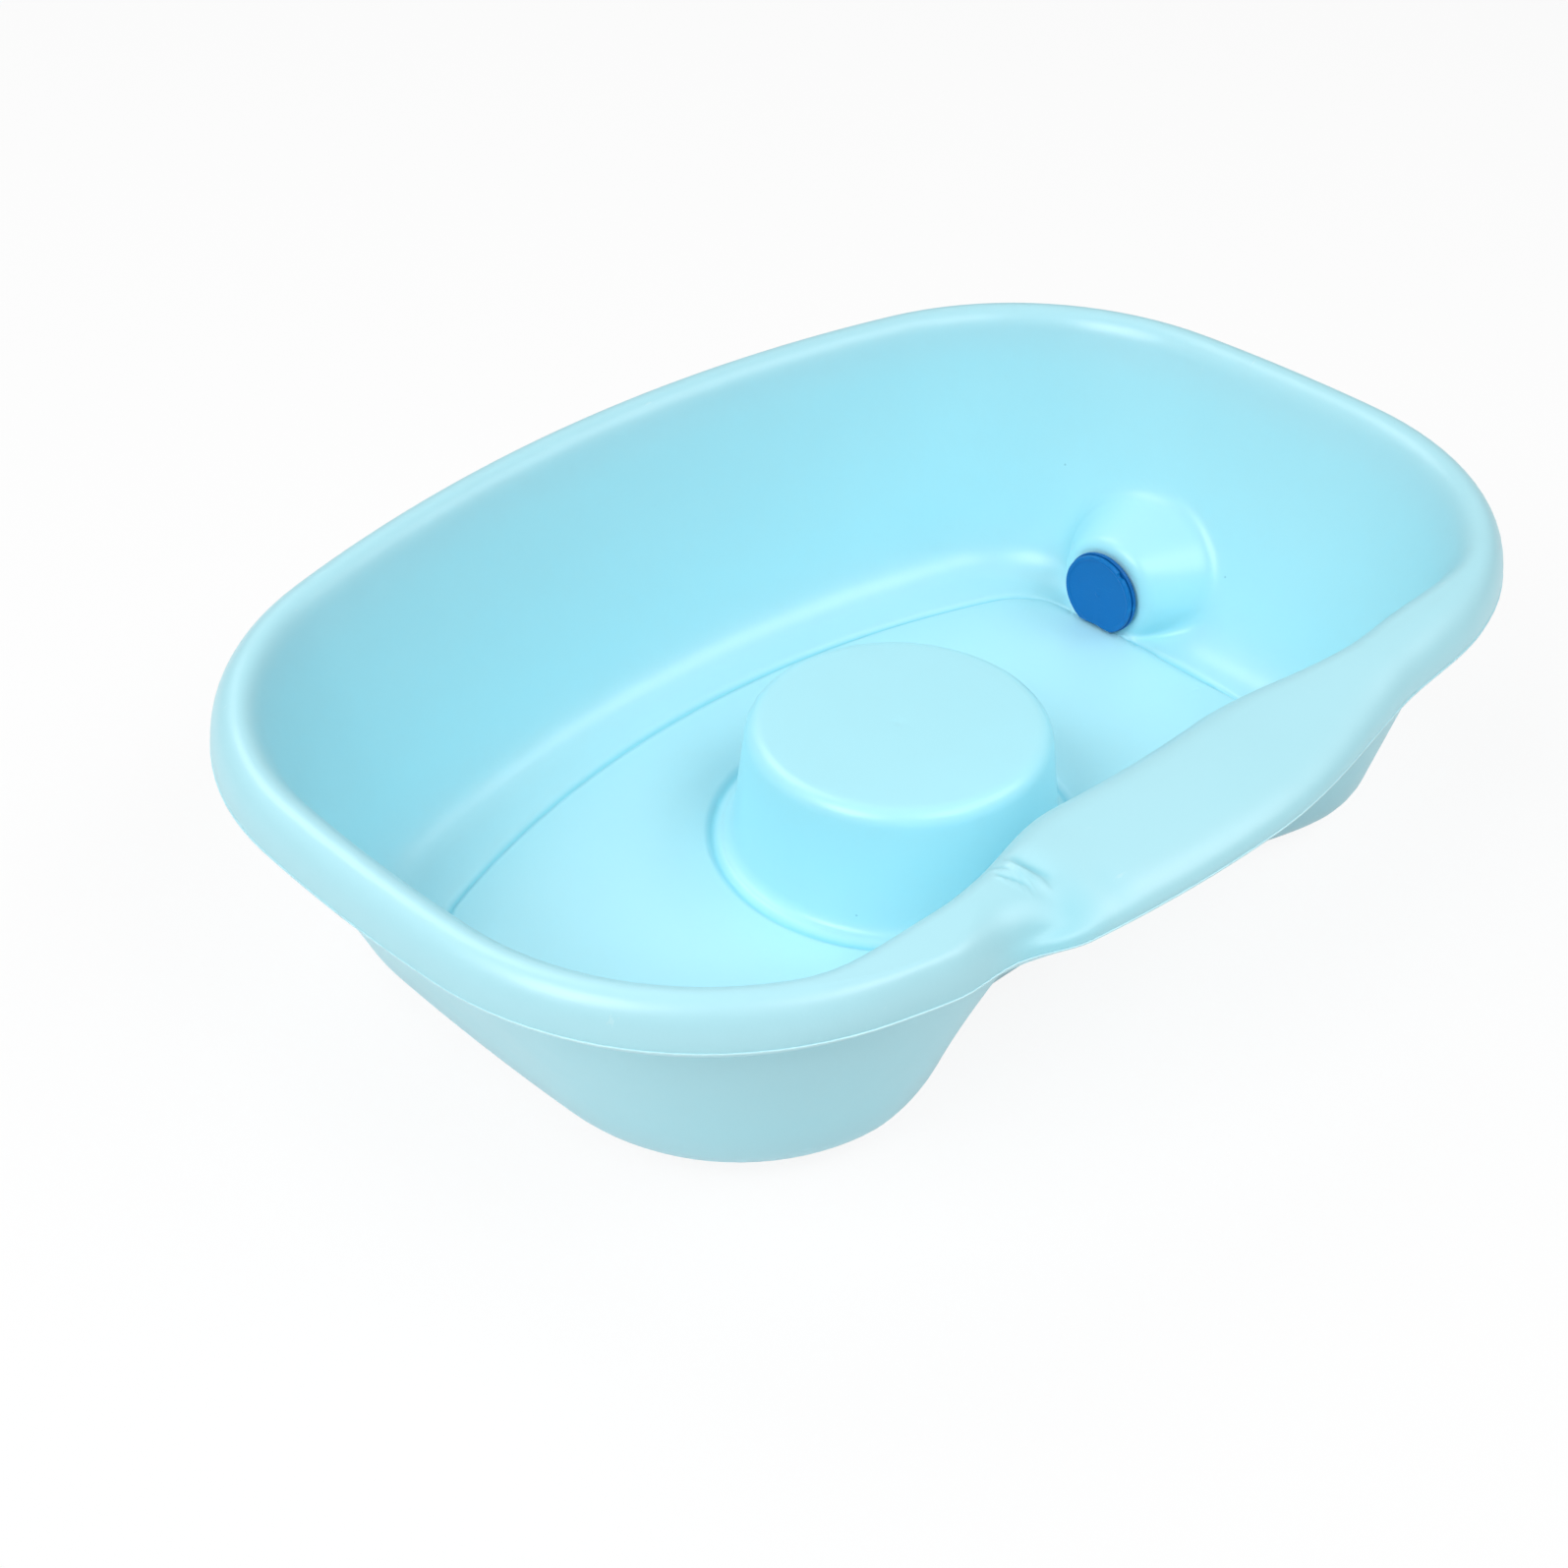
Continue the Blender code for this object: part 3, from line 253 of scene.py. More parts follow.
class DrainSizes(bpy.types.PropertyGroup):
    """Sizes of the drain boss and its fittings."""
    side: length("Drain side", 0.0280, "How far the drain lies behind the middle")
    rise: length("Drain rise", 0.0160, "Height of the drain's axis over the floor")
    boss_reach: length("Boss reach", 0.0135, "How far the boss stands out of the floor's end")
    boss_face_radius: length("Boss face radius", 0.0210, "Radius of the boss's face")
    boss_face_round: length("Boss face round", 0.0040, "Rounding of the boss's face")
    boss_half_width: length("Boss half width", 0.0360, "Half the width of the boss at the wall")
    boss_half_height: length("Boss half height", 0.0285, "Half the height of the boss at the wall")
    boss_wall_depth: length("Boss depth", 0.0225, "Depth of the boss from its face to the wall")
    boss_top_depth: length("Boss top depth", 0.0085, "How much deeper the boss is at its top")
    boss_fillet: length("Boss fillet", 0.0036, "Softness of the boss's meeting with the bowl")
    end_wall: length("Boss end wall", 0.0040, "Thickness of the boss's end")
    recess_radius: length("Recess radius", 0.0165, "Radius of the recess behind the boss")
    recess_mouth: length("Recess mouth", 0.0190, "Radius of that recess at its mouth")
    recess_lip: length("Recess lip", 0.0022, "Rounding of that recess's lip")
    hole_radius: length("Hole radius", 0.0100, "Radius of the hole through the boss")
    clearance: length("Clearance", 0.0003, "Gap between neighbouring pieces")
    mouth_radius: length("Mouth radius", 0.0072, "Radius of the outlet's mouth")
    mouth_depth: length("Mouth depth", 0.0110, "Depth of the outlet's mouth")
    bore_radius: length("Bore radius", 0.0052, "Radius of the outlet's bore")
    flange_thickness: length("Flange thickness", 0.0015, "Thickness of the outlet's flange")
    thread_pitch: length("Thread pitch", 0.0025, "Pitch of the outlet's thread")
    thread_depth: length("Thread depth", 0.0008, "Depth of the outlet's thread")
    thread_length: length("Thread length", 0.0144, "Length of the outlet's thread")
    barb_root: length("Barb root", 0.0066, "Radius of the hose tail between its barbs")
    barb_tip: length("Barb tip", 0.0076, "Radius of the hose tail's barbs")
    barb_pitch: length("Barb pitch", 0.0050, "Length of each barb")
    flat_drop: length("Flat drop", 0.0142, "From the drain's axis down to the flats")
    edge_round: length("Edge round", 0.0004, "Rounding of the fittings' edges")
    head_thickness: length("Head thickness", 0.0018, "Thickness of the stopper's head")
    head_rim_width: length("Head rim width", 0.0016, "Width of the raised rim on the stopper")
    head_rim_height: length("Head rim height", 0.0003, "Height of that rim")
    stem_wall: length("Stem wall", 0.0014, "Wall of the stopper's stem")
    notch_radius: length("Notch radius", 0.0020, "Radius of the finger notch")
    notch_depth: length("Notch depth", 0.0011, "Depth of the finger notch")
    nut_chamfer: length("Nut chamfer", 0.0009, "Chamfer of the nut's edges")


class FinishColours(bpy.types.PropertyGroup):
    """Colours of the finishes and of the floor."""
    basin: colour("Basin", (0.485, 0.836, 0.925), "Pale cyan of the rim and the floor")
    # Painted light: the walls' colour is a brighter, more saturated cyan that stands in for light
    # passing through the plastic and bouncing between the walls
    basin_wall_painted_glow: colour("Basin walls", (0.460, 0.862, 0.958), "Cyan of the walls, lit through")
    basin_deep: colour("Basin deep", (0.430, 0.822, 0.912), "Deeper cyan of the thicker stretches")
    # Painted shade: the darker cyan laid into the grooves, creases, dents and hollows
    basin_painted_shade: colour("Basin creases", (0.250, 0.700, 0.830), "Darker cyan in grooves and creases")
    basin_scuffs_and_painted_flash_highlight: colour("Basin worn", (0.680, 0.915, 0.965), "Whitened scuffs and flash line")
    # Whitened scuffs are wear; on the flash line this colour is a painted highlight
    basin_speck: colour("Basin specks", (0.160, 0.500, 0.600), "Dark specks in the basin's plastic")
    fitting: colour("Fittings", (0.001, 0.110, 0.380), "Blue of the outlet and its nut")
    stopper: colour("Stopper", (0.001, 0.158, 0.480), "Blue of the stopper")
    stopper_worn: colour("Stopper worn", (0.010, 0.230, 0.560), "Lighter blue of its worn edges")
    rubber: colour("Rubber", (0.020, 0.034, 0.044), "Dark grey of the washer")
    rubber_dust: colour("Rubber dust", (0.090, 0.095, 0.100), "Grey of the dust on the washer")
    floor: colour("Floor", (0.920, 0.920, 0.920), "White of the floor")
    floor_haze: colour("Floor haze", (0.900, 0.900, 0.900), "White of the floor's duller stretches")


class Socket:
    """A node's output, on which arithmetic adds Math nodes."""

    def __init__(self, finish, output):
        self.finish = finish
        self.output = output

    def _math(self, operation, *values):
        inputs = dict(enumerate(values))
        return self.finish.add("ShaderNodeMath", {"operation": operation}, inputs)

    def __add__(self, other):
        return self._math("ADD", self, other)

    __radd__ = __add__

    def __rsub__(self, other):
        return self._math("SUBTRACT", other, self)

    def __mul__(self, other):
        return self._math("MULTIPLY", self, other)

    __rmul__ = __mul__

    def step(self, start, end):
        """Nothing below start, one above end and smooth between them."""
        inputs = {"Value": self, "From Min": start, "From Max": end}
        return self.finish.add("ShaderNodeMapRange", {"interpolation_type": "SMOOTHSTEP"}, inputs)


class Nodes:
    """The node tree of a material or of the world."""

    def __init__(self, owner):
        owner.use_nodes = True
        self.owner = owner
        self.tree = owner.node_tree
        self.tree.nodes.clear()

    def add(self, kind, settings=None, inputs=None, output=0):
        """Add a node: its settings first, then the values or links of its sockets."""
        node = self.tree.nodes.new(kind)
        for name, value in (settings or {}).items():
            setattr(node, name, value)
        for name, value in (inputs or {}).items():
            if isinstance(value, Socket):
                self.tree.links.new(value.output, node.inputs[name])
            else:
                node.inputs[name].default_value = value
        return Socket(self, node.outputs[output]) if node.outputs else node

    def seen_share(self, camera_share, gloss_share):
        """The given shares for rays from the camera and for rays that reflections send out."""
        camera = self.add("ShaderNodeLightPath", output="Is Camera Ray")
        glossy = self.add("ShaderNodeLightPath", output="Is Glossy Ray")
        return camera * camera_share + glossy * gloss_share


class Finish(Nodes):
    """A procedural material with one Principled shader."""

    def __init__(self, name):
        super().__init__(bpy.data.materials.new(name))
        self.position = self.add("ShaderNodeTexCoord", output="Object")

    def noise(self, scale, detail=2, roughness=0.5, at=None):
        place = at or self.position
        inputs = {"Vector": place, "Scale": scale, "Detail": detail, "Roughness": roughness}
        return self.add("ShaderNodeTexNoise", None, inputs)

    def stretched(self, scale):
        """Object coordinates scaled unlike on the three axes."""
        return self.add("ShaderNodeMapping", None, {"Vector": self.position, "Scale": scale})

    def spots(self, scale, radius, rarity):
        """Small round spots, in as few of the cells as the rarity leaves."""
        inputs = {"Vector": self.position, "Scale": scale}
        distance = self.add("ShaderNodeTexVoronoi", None, inputs, "Distance")
        cell = self.add("ShaderNodeTexVoronoi", None, inputs, "Color")
        chance = self.add("ShaderNodeSeparateColor", None, {"Color": cell})
        return (1 - distance.step(radius / 2, radius)) * chance.step(rarity, rarity + 1e-3)

    def mixed(self, first, second, share):
        settings = {"data_type": "RGBA"}
        inputs = {"Factor": share, 6: first, 7: second}
        return self.add("ShaderNodeMix", settings, inputs, 2)

    def bumped(self, layers):
        """Bump of several heights, each given with its distance in metres."""
        normal = None
        for height, distance in layers:
            inputs = {"Height": height, "Distance": distance}
            if normal:
                inputs["Normal"] = normal
            normal = self.add("ShaderNodeBump", None, inputs)
        return normal

    def close(self, inputs):
        shader = self.add("ShaderNodeBsdfPrincipled", None, inputs)
        self.add("ShaderNodeOutputMaterial", None, {"Surface": shader})
        return self.owner


def opaque(rgb):
    return (*rgb, 1)


def basin_plastic(colours):
    """Pale blow-moulded plastic: faint clouding, flow marks, scuffs, specks and a soft skin. Painted
    light:
    a brighter cyan on the walls, shade in the grooves, creases, dents and hollows, and a highlight
    on the flash line.
    """
    finish = Finish("basin_plastic")
    clouds = finish.noise(7, 3)
    flow = finish.noise(1, 4, 0.6, finish.stretched((22, 22, 5)))
    flash = finish.add("ShaderNodeAttribute", {"attribute_name": "flash"}, output="Fac")
    height = finish.add("ShaderNodeSeparateXYZ", None, {"Vector": finish.position}, "Z")
    scratch_field = finish.noise(1, 3, 0.7, finish.stretched((55, 260, 90)))
    scratched_places = finish.noise(30, 2).step(0.52, 0.62) * height.step(0.098, 0.106)
    scratches = scratch_field.step(0.66, 0.70) * scratched_places
    specks = finish.spots(60, 0.035, 0.93)
    # Painted light: between the floor and the rim the walls take the brighter wall cyan, standing in for
    # light through the plastic and bounced between the walls
    wall = height.step(0.014, 0.034) * (1 - height.step(0.088, 0.104))
    walls = finish.mixed(opaque(colours.basin), opaque(colours.basin_wall_painted_glow), wall)
    clouded = finish.mixed(walls, opaque(colours.basin_deep), clouds * 0.3 + flow * 0.3)
    # Painted shade: a darker cyan in the grooves, creases and dents marked on the skin, and in the
    # hollows that pointiness finds
    crease = finish.add("ShaderNodeAttribute", {"attribute_name": "crease"}, output="Fac")
    painted_hollow_shade = 1 - finish.add("ShaderNodeNewGeometry", output="Pointiness").step(0.455, 0.496)
    tone = finish.mixed(clouded, opaque(colours.basin_painted_shade), crease * 0.75 + painted_hollow_shade * 0.25)
    # Whitened scuffs are wear; the lighter line on the flash line is a painted highlight
    worn = finish.mixed(tone, opaque(colours.basin_scuffs_and_painted_flash_highlight), flash * 0.7 + scratches * 0.35)
    speckled = finish.mixed(worn, opaque(colours.basin_speck), specks * 0.5)
    peel = finish.noise(900, 2, 0.6)
    waves = finish.noise(38, 2, 0.4)
    rough = 0.27 + 0.07 * clouds + 0.05 * flow + 0.22 * scratches + 0.1 * flash
    return finish.close({
        "Base Color": speckled,
        "Roughness": rough,
        "IOR": 1.5,
        "Normal": finish.bumped(((waves, 0.0006), (peel, 0.00002), (scratches, 0.00003))),
    })


def fitting_plastic(name, tint, worn):
    """Satin injection-moulded plastic with turned marks and slightly worn high places."""
    finish = Finish(name)
    clouds = finish.noise(120, 3)
    grain = finish.noise(1600, 2, 0.6)
    scratch_field = finish.noise(1, 3, 0.7, finish.stretched((900, 160, 2200)))
    scratches = scratch_field.step(0.62, 0.70)
    edges = finish.add("ShaderNodeNewGeometry", output="Pointiness").step(0.52, 0.60)
    tone = finish.mixed(opaque(tint), opaque(worn), clouds * 0.18 + edges * 0.55 + scratches * 0.25)
    return finish.close({
        "Base Color": tone,
        "Roughness": 0.34 + 0.12 * clouds + 0.18 * scratches,
        "Specular IOR Level": 0.25,
        "Normal": finish.bumped(((grain, 0.00002), (scratches, 0.00002))),
    })


def washer_rubber(colours):
    """Dark rubber with a dusty, pressed surface."""
    finish = Finish("washer_rubber")
    dust = finish.noise(300, 4, 0.65)
    grain = finish.noise(2500, 2)
    dusted = dust.step(0.45, 0.75) * 0.6
    tone = finish.mixed(opaque(colours.rubber), opaque(colours.rubber_dust), dusted)
    return finish.close({
        "Base Color": tone,
        "Roughness": 0.62 + 0.2 * dust,
        "Normal": finish.bumped(((grain, 0.00003),)),
    })


def floor_white(colours):
    """White studio floor, with faint unevenness and lifted to white for the camera."""
    finish = Finish("studio_floor")
    haze = finish.noise(3, 2)
    tone = finish.mixed(opaque(colours.floor), opaque(colours.floor_haze), haze)
    shader = finish.add("ShaderNodeBsdfPrincipled", None, {
        "Base Color": tone, "Roughness": 0.9, "Specular IOR Level": 0.1})
    glow = finish.add("ShaderNodeEmission", None, {"Color": WHITE, "Strength": 1})
    share = finish.seen_share(*FLOOR_SEEN_SHARES)
    both = finish.add("ShaderNodeMixShader", None, {0: share, 1: shader, 2: glow})
    finish.add("ShaderNodeOutputMaterial", None, {"Surface": both})
    return finish.owner


def studio_world():
    """Faint light from all round, and plain white where the camera sees past the floor."""
    world = Nodes(bpy.data.worlds.new("studio"))
    faint = world.add("ShaderNodeBackground", None, {"Color": WHITE, "Strength": WORLD_STRENGTH})
    white = world.add("ShaderNodeBackground", None, {"Color": WHITE})
    share = world.seen_share(*WORLD_SEEN_SHARES)
    both = world.add("ShaderNodeMixShader", None, {0: share, 1: faint, 2: white})
    world.add("ShaderNodeOutputWorld", None, {"Surface": both})
    return world.owner


def smooth_step(value, start, end):
    share = np.clip((value - start) / (end - start), 0, 1)
    return share * share * (3 - 2 * share)


def span(x, left_outer, left_inner, right_inner, right_outer):
    """One between the two inner reaches, falling smoothly to nothing at the outer ones."""
    return smooth_step(x, -left_outer, -left_inner) * smooth_step(-x, -right_outer, -right_inner)


def bump(x, reach_left, reach_right):
    """One at nothing, falling smoothly to nothing at the two reaches."""
    return smooth_step(x, -reach_left, 0) * smooth_step(-x, -reach_right, 0)


def quarter_arcs(half_length, half_width, radii, fractions):
    """Points and outward normals from the oval's end to the middle of its long side."""
    side_radius, end_radius, corner_radius = radii
    side_centre = np.array((0, half_width - side_radius))
    end_centre = np.array((half_length - end_radius, 0))
    side_reach = side_radius - corner_radius
    end_reach = end_radius - corner_radius
    apart = end_centre - side_centre
    distance = np.hypot(*apart)
    way = apart / distance
    along = (side_reach ** 2 - end_reach ** 2 + distance ** 2) / (2 * distance)
    across = np.sqrt(max(side_reach ** 2 - along ** 2, 0))
    corner_centre = side_centre + way * along + np.array((way[1], -way[0])) * across
    end_turn = np.arctan2(*(corner_centre - end_centre)[::-1])
    side_turn = np.arctan2(*(corner_centre - side_centre)[::-1])
    arcs = (
        (end_centre, end_radius, 0, end_turn),
        (corner_centre, corner_radius, end_turn, side_turn),
        (side_centre, side_radius, side_turn, pi / 2),
    )
    points, normals = [], []
    for (centre, radius, start, end), shares in zip(arcs, fractions):
        turn = start + (end - start) * shares
        normal = np.stack((np.cos(turn), np.sin(turn)), 1)
        points.append(centre + radius * normal)
        normals.append(normal)
    return np.concatenate(points), np.concatenate(normals)


def even_shares(steps):
    """Shares of the three arcs; the last arc runs on to its very end."""
    shares = [np.arange(count) / count for count in steps]
    shares[2] = np.append(shares[2], 1)
    return shares


def oval(half_length, half_width, radii, shift):
    """The whole oval from its left end through the front, the right end and the back."""
    fold_shares = even_shares(LEFT_FRONT_STEPS)
    outside = (fold_shares[2] < FOLD_SHARES[0]) | (fold_shares[2] > FOLD_SHARES[1])
    extra = np.linspace(*FOLD_SHARES, FOLD_STEPS)
    fold_shares[2] = np.sort(np.concatenate((fold_shares[2][outside], extra)))
    turns = (
        (fold_shares, -1, -1, False),
        (even_shares(RIGHT_FRONT_STEPS), 1, -1, True),
        (even_shares(RIGHT_BACK_STEPS), 1, 1, False),
        (even_shares(LEFT_BACK_STEPS), -1, 1, True),
    )
    points, normals = [], []
    for shares, x_sign, y_sign, backwards in turns:
        place, normal = quarter_arcs(half_length, half_width, radii, shares)
        if backwards:
            place, normal = place[:0:-1], normal[:0:-1]
        else:
            place, normal = place[:-1], normal[:-1]
        signs = np.array((x_sign, y_sign))
        points.append(place * signs + (0, shift))
        normals.append(normal * signs)
    return np.concatenate(points), np.concatenate(normals)


def lifted(flat, height):
    height = np.broadcast_to(height, flat.shape[:-1])
    return np.concatenate((flat, height[..., None]), -1)


def column(values, count):
    return np.broadcast_to(values, (count,)).astype(float)[:, None]


class Section:
    """Corners of the skin at every station, and the rounded rows that run through them."""

    def __init__(self, count):
        self.count = count
        self.corners = []
        self.starts = {}

    def corner(self, points, leg=0, next_leg=None, steps=0, run=0, name=None):
        """A corner with the lengths of its rounding before and after it, and points on the run after."""
        legs = [column(leg, self.count), column(leg if next_leg is None else next_leg, self.count)]
        self.corners.append([points, *legs, steps, run, name])

    def rows(self):
        corners = self.corners
        for this, following in zip(corners, corners[1:]):
            room = np.linalg.norm(following[0] - this[0], axis=1)[:, None] * LEG_LIMIT_SHARE
            scale = np.minimum(room / np.maximum(this[2] + following[1], TINY), 1)
            this[2] = this[2] * scale
            following[1] = following[1] * scale
        rows = []
        last = len(corners) - 1
        for index, (point, before, after, steps, run, name) in enumerate(corners):
            if name:
                self.starts[name] = len(rows)
            leaving = unit(corners[min(index + 1, last)][0] - point)
            arriving = unit(point - corners[max(index - 1, 0)][0])
            if steps:
                weight = np.sqrt(np.clip((1 + (arriving * leaving).sum(1)) / 2, 0, 1))[:, None]
                for step in range(steps + 1):
                    share = step / steps
                    parts = ((1 - share) ** 2, 2 * weight * share * (1 - share), share ** 2)
                    place = (point - arriving * before) * parts[0] + point * parts[1]
                    rows.append((place + (point + leaving * after) * parts[2]) / sum(parts))
            else:
                rows.append(point)
            if run:
                following = corners[index + 1]
                end = following[0] - unit(following[0] - point) * following[1]
                start = rows[-1]
                rows.extend(start + (end - start) * step / (run + 1) for step in range(1, run + 1))
        return np.array(rows)


def unit(vectors):
    return vectors / np.maximum(np.linalg.norm(vectors, axis=-1, keepdims=True), TINY)


def base_half_size(sizes):
    low, high = BODY_BOX
    inset = np.array((sizes.base_end_inset, sizes.base_side_inset))
    return np.array((high.x - low.x, high.y - low.y)) / 2 - inset


def floor_half_size(sizes):
    return base_half_size(sizes) - (sizes.floor_end_setback, sizes.floor_side_setback)


def ring_radius(sizes):
    """Radius of the middle of the ring in the floor round the pillar."""
    return sizes.pillar_radius + sizes.pillar_draft + sizes.ring_setback


def recess_depth(sizes, rest):
    """How far the bowl's wall draws in at the middle of the recess, up to its gap before the ring."""
    floor_front = floor_half_size(sizes)[1] - sizes.floor_shift
    ring_front = ring_radius(sizes) + sizes.groove_half_width - sizes.pillar_shift
    return floor_front - rest.recess_floor_round - rest.recess_ring_gap - ring_front


def recess_share(place, rest):
    reach = rest.recess_outer, rest.recess_inner, rest.recess_inner, rest.recess_outer
    return (place[:, 1] < 0) * span(place[:, 0], *reach)


def pillar_section(section, sizes, around):
    """Top, side and foot of the pillar, and the ring in the floor round it."""
    centre = np.array((0, sizes.pillar_shift))
    top = sizes.floor_height + sizes.pillar_height
    foot = sizes.pillar_radius + sizes.pillar_draft
    ring = ring_radius(sizes)
    half = sizes.groove_half_width
    floor = sizes.floor_height

    def at(radius, height):
        return lifted(centre + around * radius, height)

    section.corner(at(sizes.dimple_radius / 3, top - sizes.dimple_depth))
    section.corner(at(sizes.dimple_radius, top), sizes.dimple_radius / 4, steps=3, run=9)
    section.corner(at(sizes.pillar_radius, top), sizes.pillar_round, steps=8, run=8)
    section.corner(at(foot, floor), sizes.pillar_foot_round, steps=6)
    section.corner(at(ring - half, floor), half / 3, steps=2)
    section.corner(at(ring, floor - sizes.groove_depth), half / 2, steps=4)
    section.corner(at(ring + half, floor), half / 3, steps=2, run=3)


def floor_section(section, sizes, rest, groove, foot, foot_normal, around):
    """Groove round the floor, and the corner between the floor and the inner wall.

    The groove keeps its share of the way from the ring to the wall, and runs out in the recess.
    """
    draw = recess_share(foot, rest)
    share = draw[:, None]
    moved = foot + share * (0, recess_depth(sizes, rest))
    edge_round = sizes.floor_round + (rest.recess_floor_round - sizes.floor_round) * draw
    wall_side = moved - foot_normal * edge_round[:, None]
    undrawn_side = foot - foot_normal * sizes.floor_round
    half = sizes.groove_half_width
    ring_side = (0, sizes.pillar_shift) + around * (ring_radius(sizes) + half)
    room = np.linalg.norm(wall_side - ring_side, axis=1)
    undrawn_room = np.linalg.norm(undrawn_side - ring_side, axis=1)
    kept = (np.linalg.norm(groove - ring_side, axis=1) / undrawn_room)[:, None]
    straight = ring_side + (wall_side - ring_side) * (kept + (0.5 - kept) * share)
    place = straight + (groove - ring_side - (undrawn_side - ring_side) * kept) * (1 - share)
    half_width = half * (1 - draw) + room / 4 * draw
    edge = unit(wall_side - place) * half_width[:, None]
    height = sizes.floor_height
    depth = sizes.groove_depth * (1 - draw)
    section.corner(lifted(place - edge, height), half_width / 3, steps=2, name="groove")
    section.corner(lifted(place, height - depth), half_width / 2, steps=4)
    section.corner(lifted(place + edge, height), half_width / 3, steps=2, run=2)
    section.corner(lifted(moved, height), edge_round, steps=9, run=58, name="wall")


def rim_section(section, sizes, rest, place, normal):
    """Crown, flash line and underside of the rim, and the top of the outer wall."""
    x = place[:, 0]
    front = place[:, 1] < 0
    flare = front * span(x, rest.flare_outer, rest.flare_inner, rest.flare_inner, rest.flare_outer)
    roll = front * span(
        x, rest.roll_left_outer, rest.roll_left_inner, rest.roll_right_inner, rest.roll_right_outer)
    left_pinch = bump(x + rest.left_pinch_place, rest.left_pinch_reach, rest.left_pinch_reach)
    right_pinch = bump(x - rest.right_pinch_place, rest.right_pinch_inner, rest.right_pinch_outer)
    draw = recess_share(place, rest)
    edge = front * (rest.left_pinch * left_pinch + rest.right_pinch * right_pinch)
    outer = edge + sizes.flash_height
    inner = sizes.crown_width + rest.flare * flare + rest.roll * roll
    rim_height = BODY_BOX[1].z
    top = rim_height - rest.drop * roll
    parting = rim_height - sizes.crown_depth
    wall_inset = sizes.underside_width + rest.recess_top * draw
    wall_top = parting - sizes.underside_depth - rest.underside_drop * draw
    bulge = sizes.underside_bulge + rest.underside_bulge * roll * draw
    under_inset = (outer + wall_inset) / 2 - bulge
    under_height = (parting + wall_top) / 2 - bulge
    inner_round = sizes.inner_round + rest.inner_round * roll
    sharp = front * bump(x + rest.edge_place, rest.edge_left_reach, rest.edge_right_reach)
    outer_round = sizes.outer_round + rest.outer_round * roll + rest.flare * flare / 2
    outer_round -= rest.edge_sharpen * sharp
    flash = sizes.flash_width

    def at(inset, height):
        return lifted(place - normal * column(inset, len(place)), height)

    section.corner(
        at(inner, top), sizes.inner_round_depth, inner_round, steps=9, run=20, name="crown")
    section.corner(at(outer, top), outer_round, top - parting, steps=16, run=2)
    section.corner(at(outer, parting + flash), name="flash")
    section.corner(at(edge, parting + flash / 2))
    section.corner(at(edge, parting - flash / 2))
    section.corner(at(outer, parting - flash), run=2, name="underside")
    section.corner(at(under_inset, under_height), bulge * 2 + flash, steps=6, run=2)
    section.corner(at(wall_inset, wall_top), flash * 4, steps=3, run=14)


def base_section(section, sizes, rest, place, normal):
    """Rounded bottom edge, the ring that the basin stands on and the hollow inside it."""
    draw = recess_share(place, rest)
    swell = (place[:, 1] < 0) * bump(
        place[:, 0] - sizes.base_swell_place, sizes.base_swell_reach, sizes.base_swell_reach)
    depth = recess_depth(sizes, rest) + rest.recess_wall_step
    move = np.stack((np.full(len(place), sizes.base_slide), depth * draw), 1)
    moved = place + move + normal * (sizes.base_swell * swell)[:, None]
    edge_round = sizes.base_round + (rest.recess_base_round - sizes.base_round) * draw
    flat = edge_round / LEG_LIMIT_SHARE + sizes.foot_width
    inside = (flat + sizes.foot_slope)[:, None]
    section.corner(lifted(moved, 0), edge_round, steps=12, run=2)
    section.corner(lifted(moved - normal * flat[:, None], 0), sizes.foot_slope / 3, steps=3)
    section.corner(lifted(moved - normal * inside, sizes.base_hollow), sizes.foot_slope / 3, steps=3)


def basin_rows(sizes, rest):
    """Every row of the body's skin, from the pillar's top to the middle of the base."""
    base_half, floor_half = base_half_size(sizes), floor_half_size(sizes)
    groove_half = floor_half - (sizes.groove_end_setback, sizes.groove_side_setback)

    def outline(part, half_size, shift):
        radii = [getattr(sizes, f"{part}_{stretch}_radius") for stretch in ("side", "end", "corner")]
        return oval(*half_size, radii, shift)

    rim = outline("rim", BODY_BOX[1].xy, 0)
    base = outline("base", base_half, sizes.base_shift)
    foot = outline("floor", floor_half, sizes.floor_shift)
    groove = outline("groove", groove_half, sizes.groove_shift)
    around = unit(groove[0] - (0, sizes.pillar_shift))
    section = Section(len(around))
    pillar_section(section, sizes, around)
    floor_section(section, sizes, rest, groove[0], *foot, around)
    rim_section(section, sizes, rest, *rim)
    base_section(section, sizes, rest, *base)
    return section.rows(), section.starts


def boss_distance(points, sizes, drain):
    """Distance outside the drain boss, negative inside it."""
    face = boss_face(sizes, drain)
    across = points[:, 1] - drain.side
    up = points[:, 2] - drain_height(sizes, drain)
    radius = np.maximum(np.hypot(across, up), SMALL)
    oval_radius = 1 / np.hypot(
        across / radius / drain.boss_half_width, up / radius / drain.boss_half_height)
    slope_run = drain.boss_wall_depth + np.clip(up / radius, 0, 1) * drain.boss_top_depth
    slope = (oval_radius - drain.boss_face_radius) / slope_run
    side = (radius - drain.boss_face_radius - (points[:, 0] - face) * slope) / np.hypot(1, slope)
    front = face - points[:, 0]
    return -soft_least(-side, -front, drain.boss_face_round)


def soft_least(first, second, softness):
    share = np.clip(0.5 + 0.5 * (second - first) / softness, 0, 1)
    return second * (1 - share) + first * share - softness * share * (1 - share)


def boss_face(sizes, drain):
    return floor_half_size(sizes)[0] - drain.boss_reach


def drain_height(sizes, drain):
    return sizes.floor_height + drain.rise


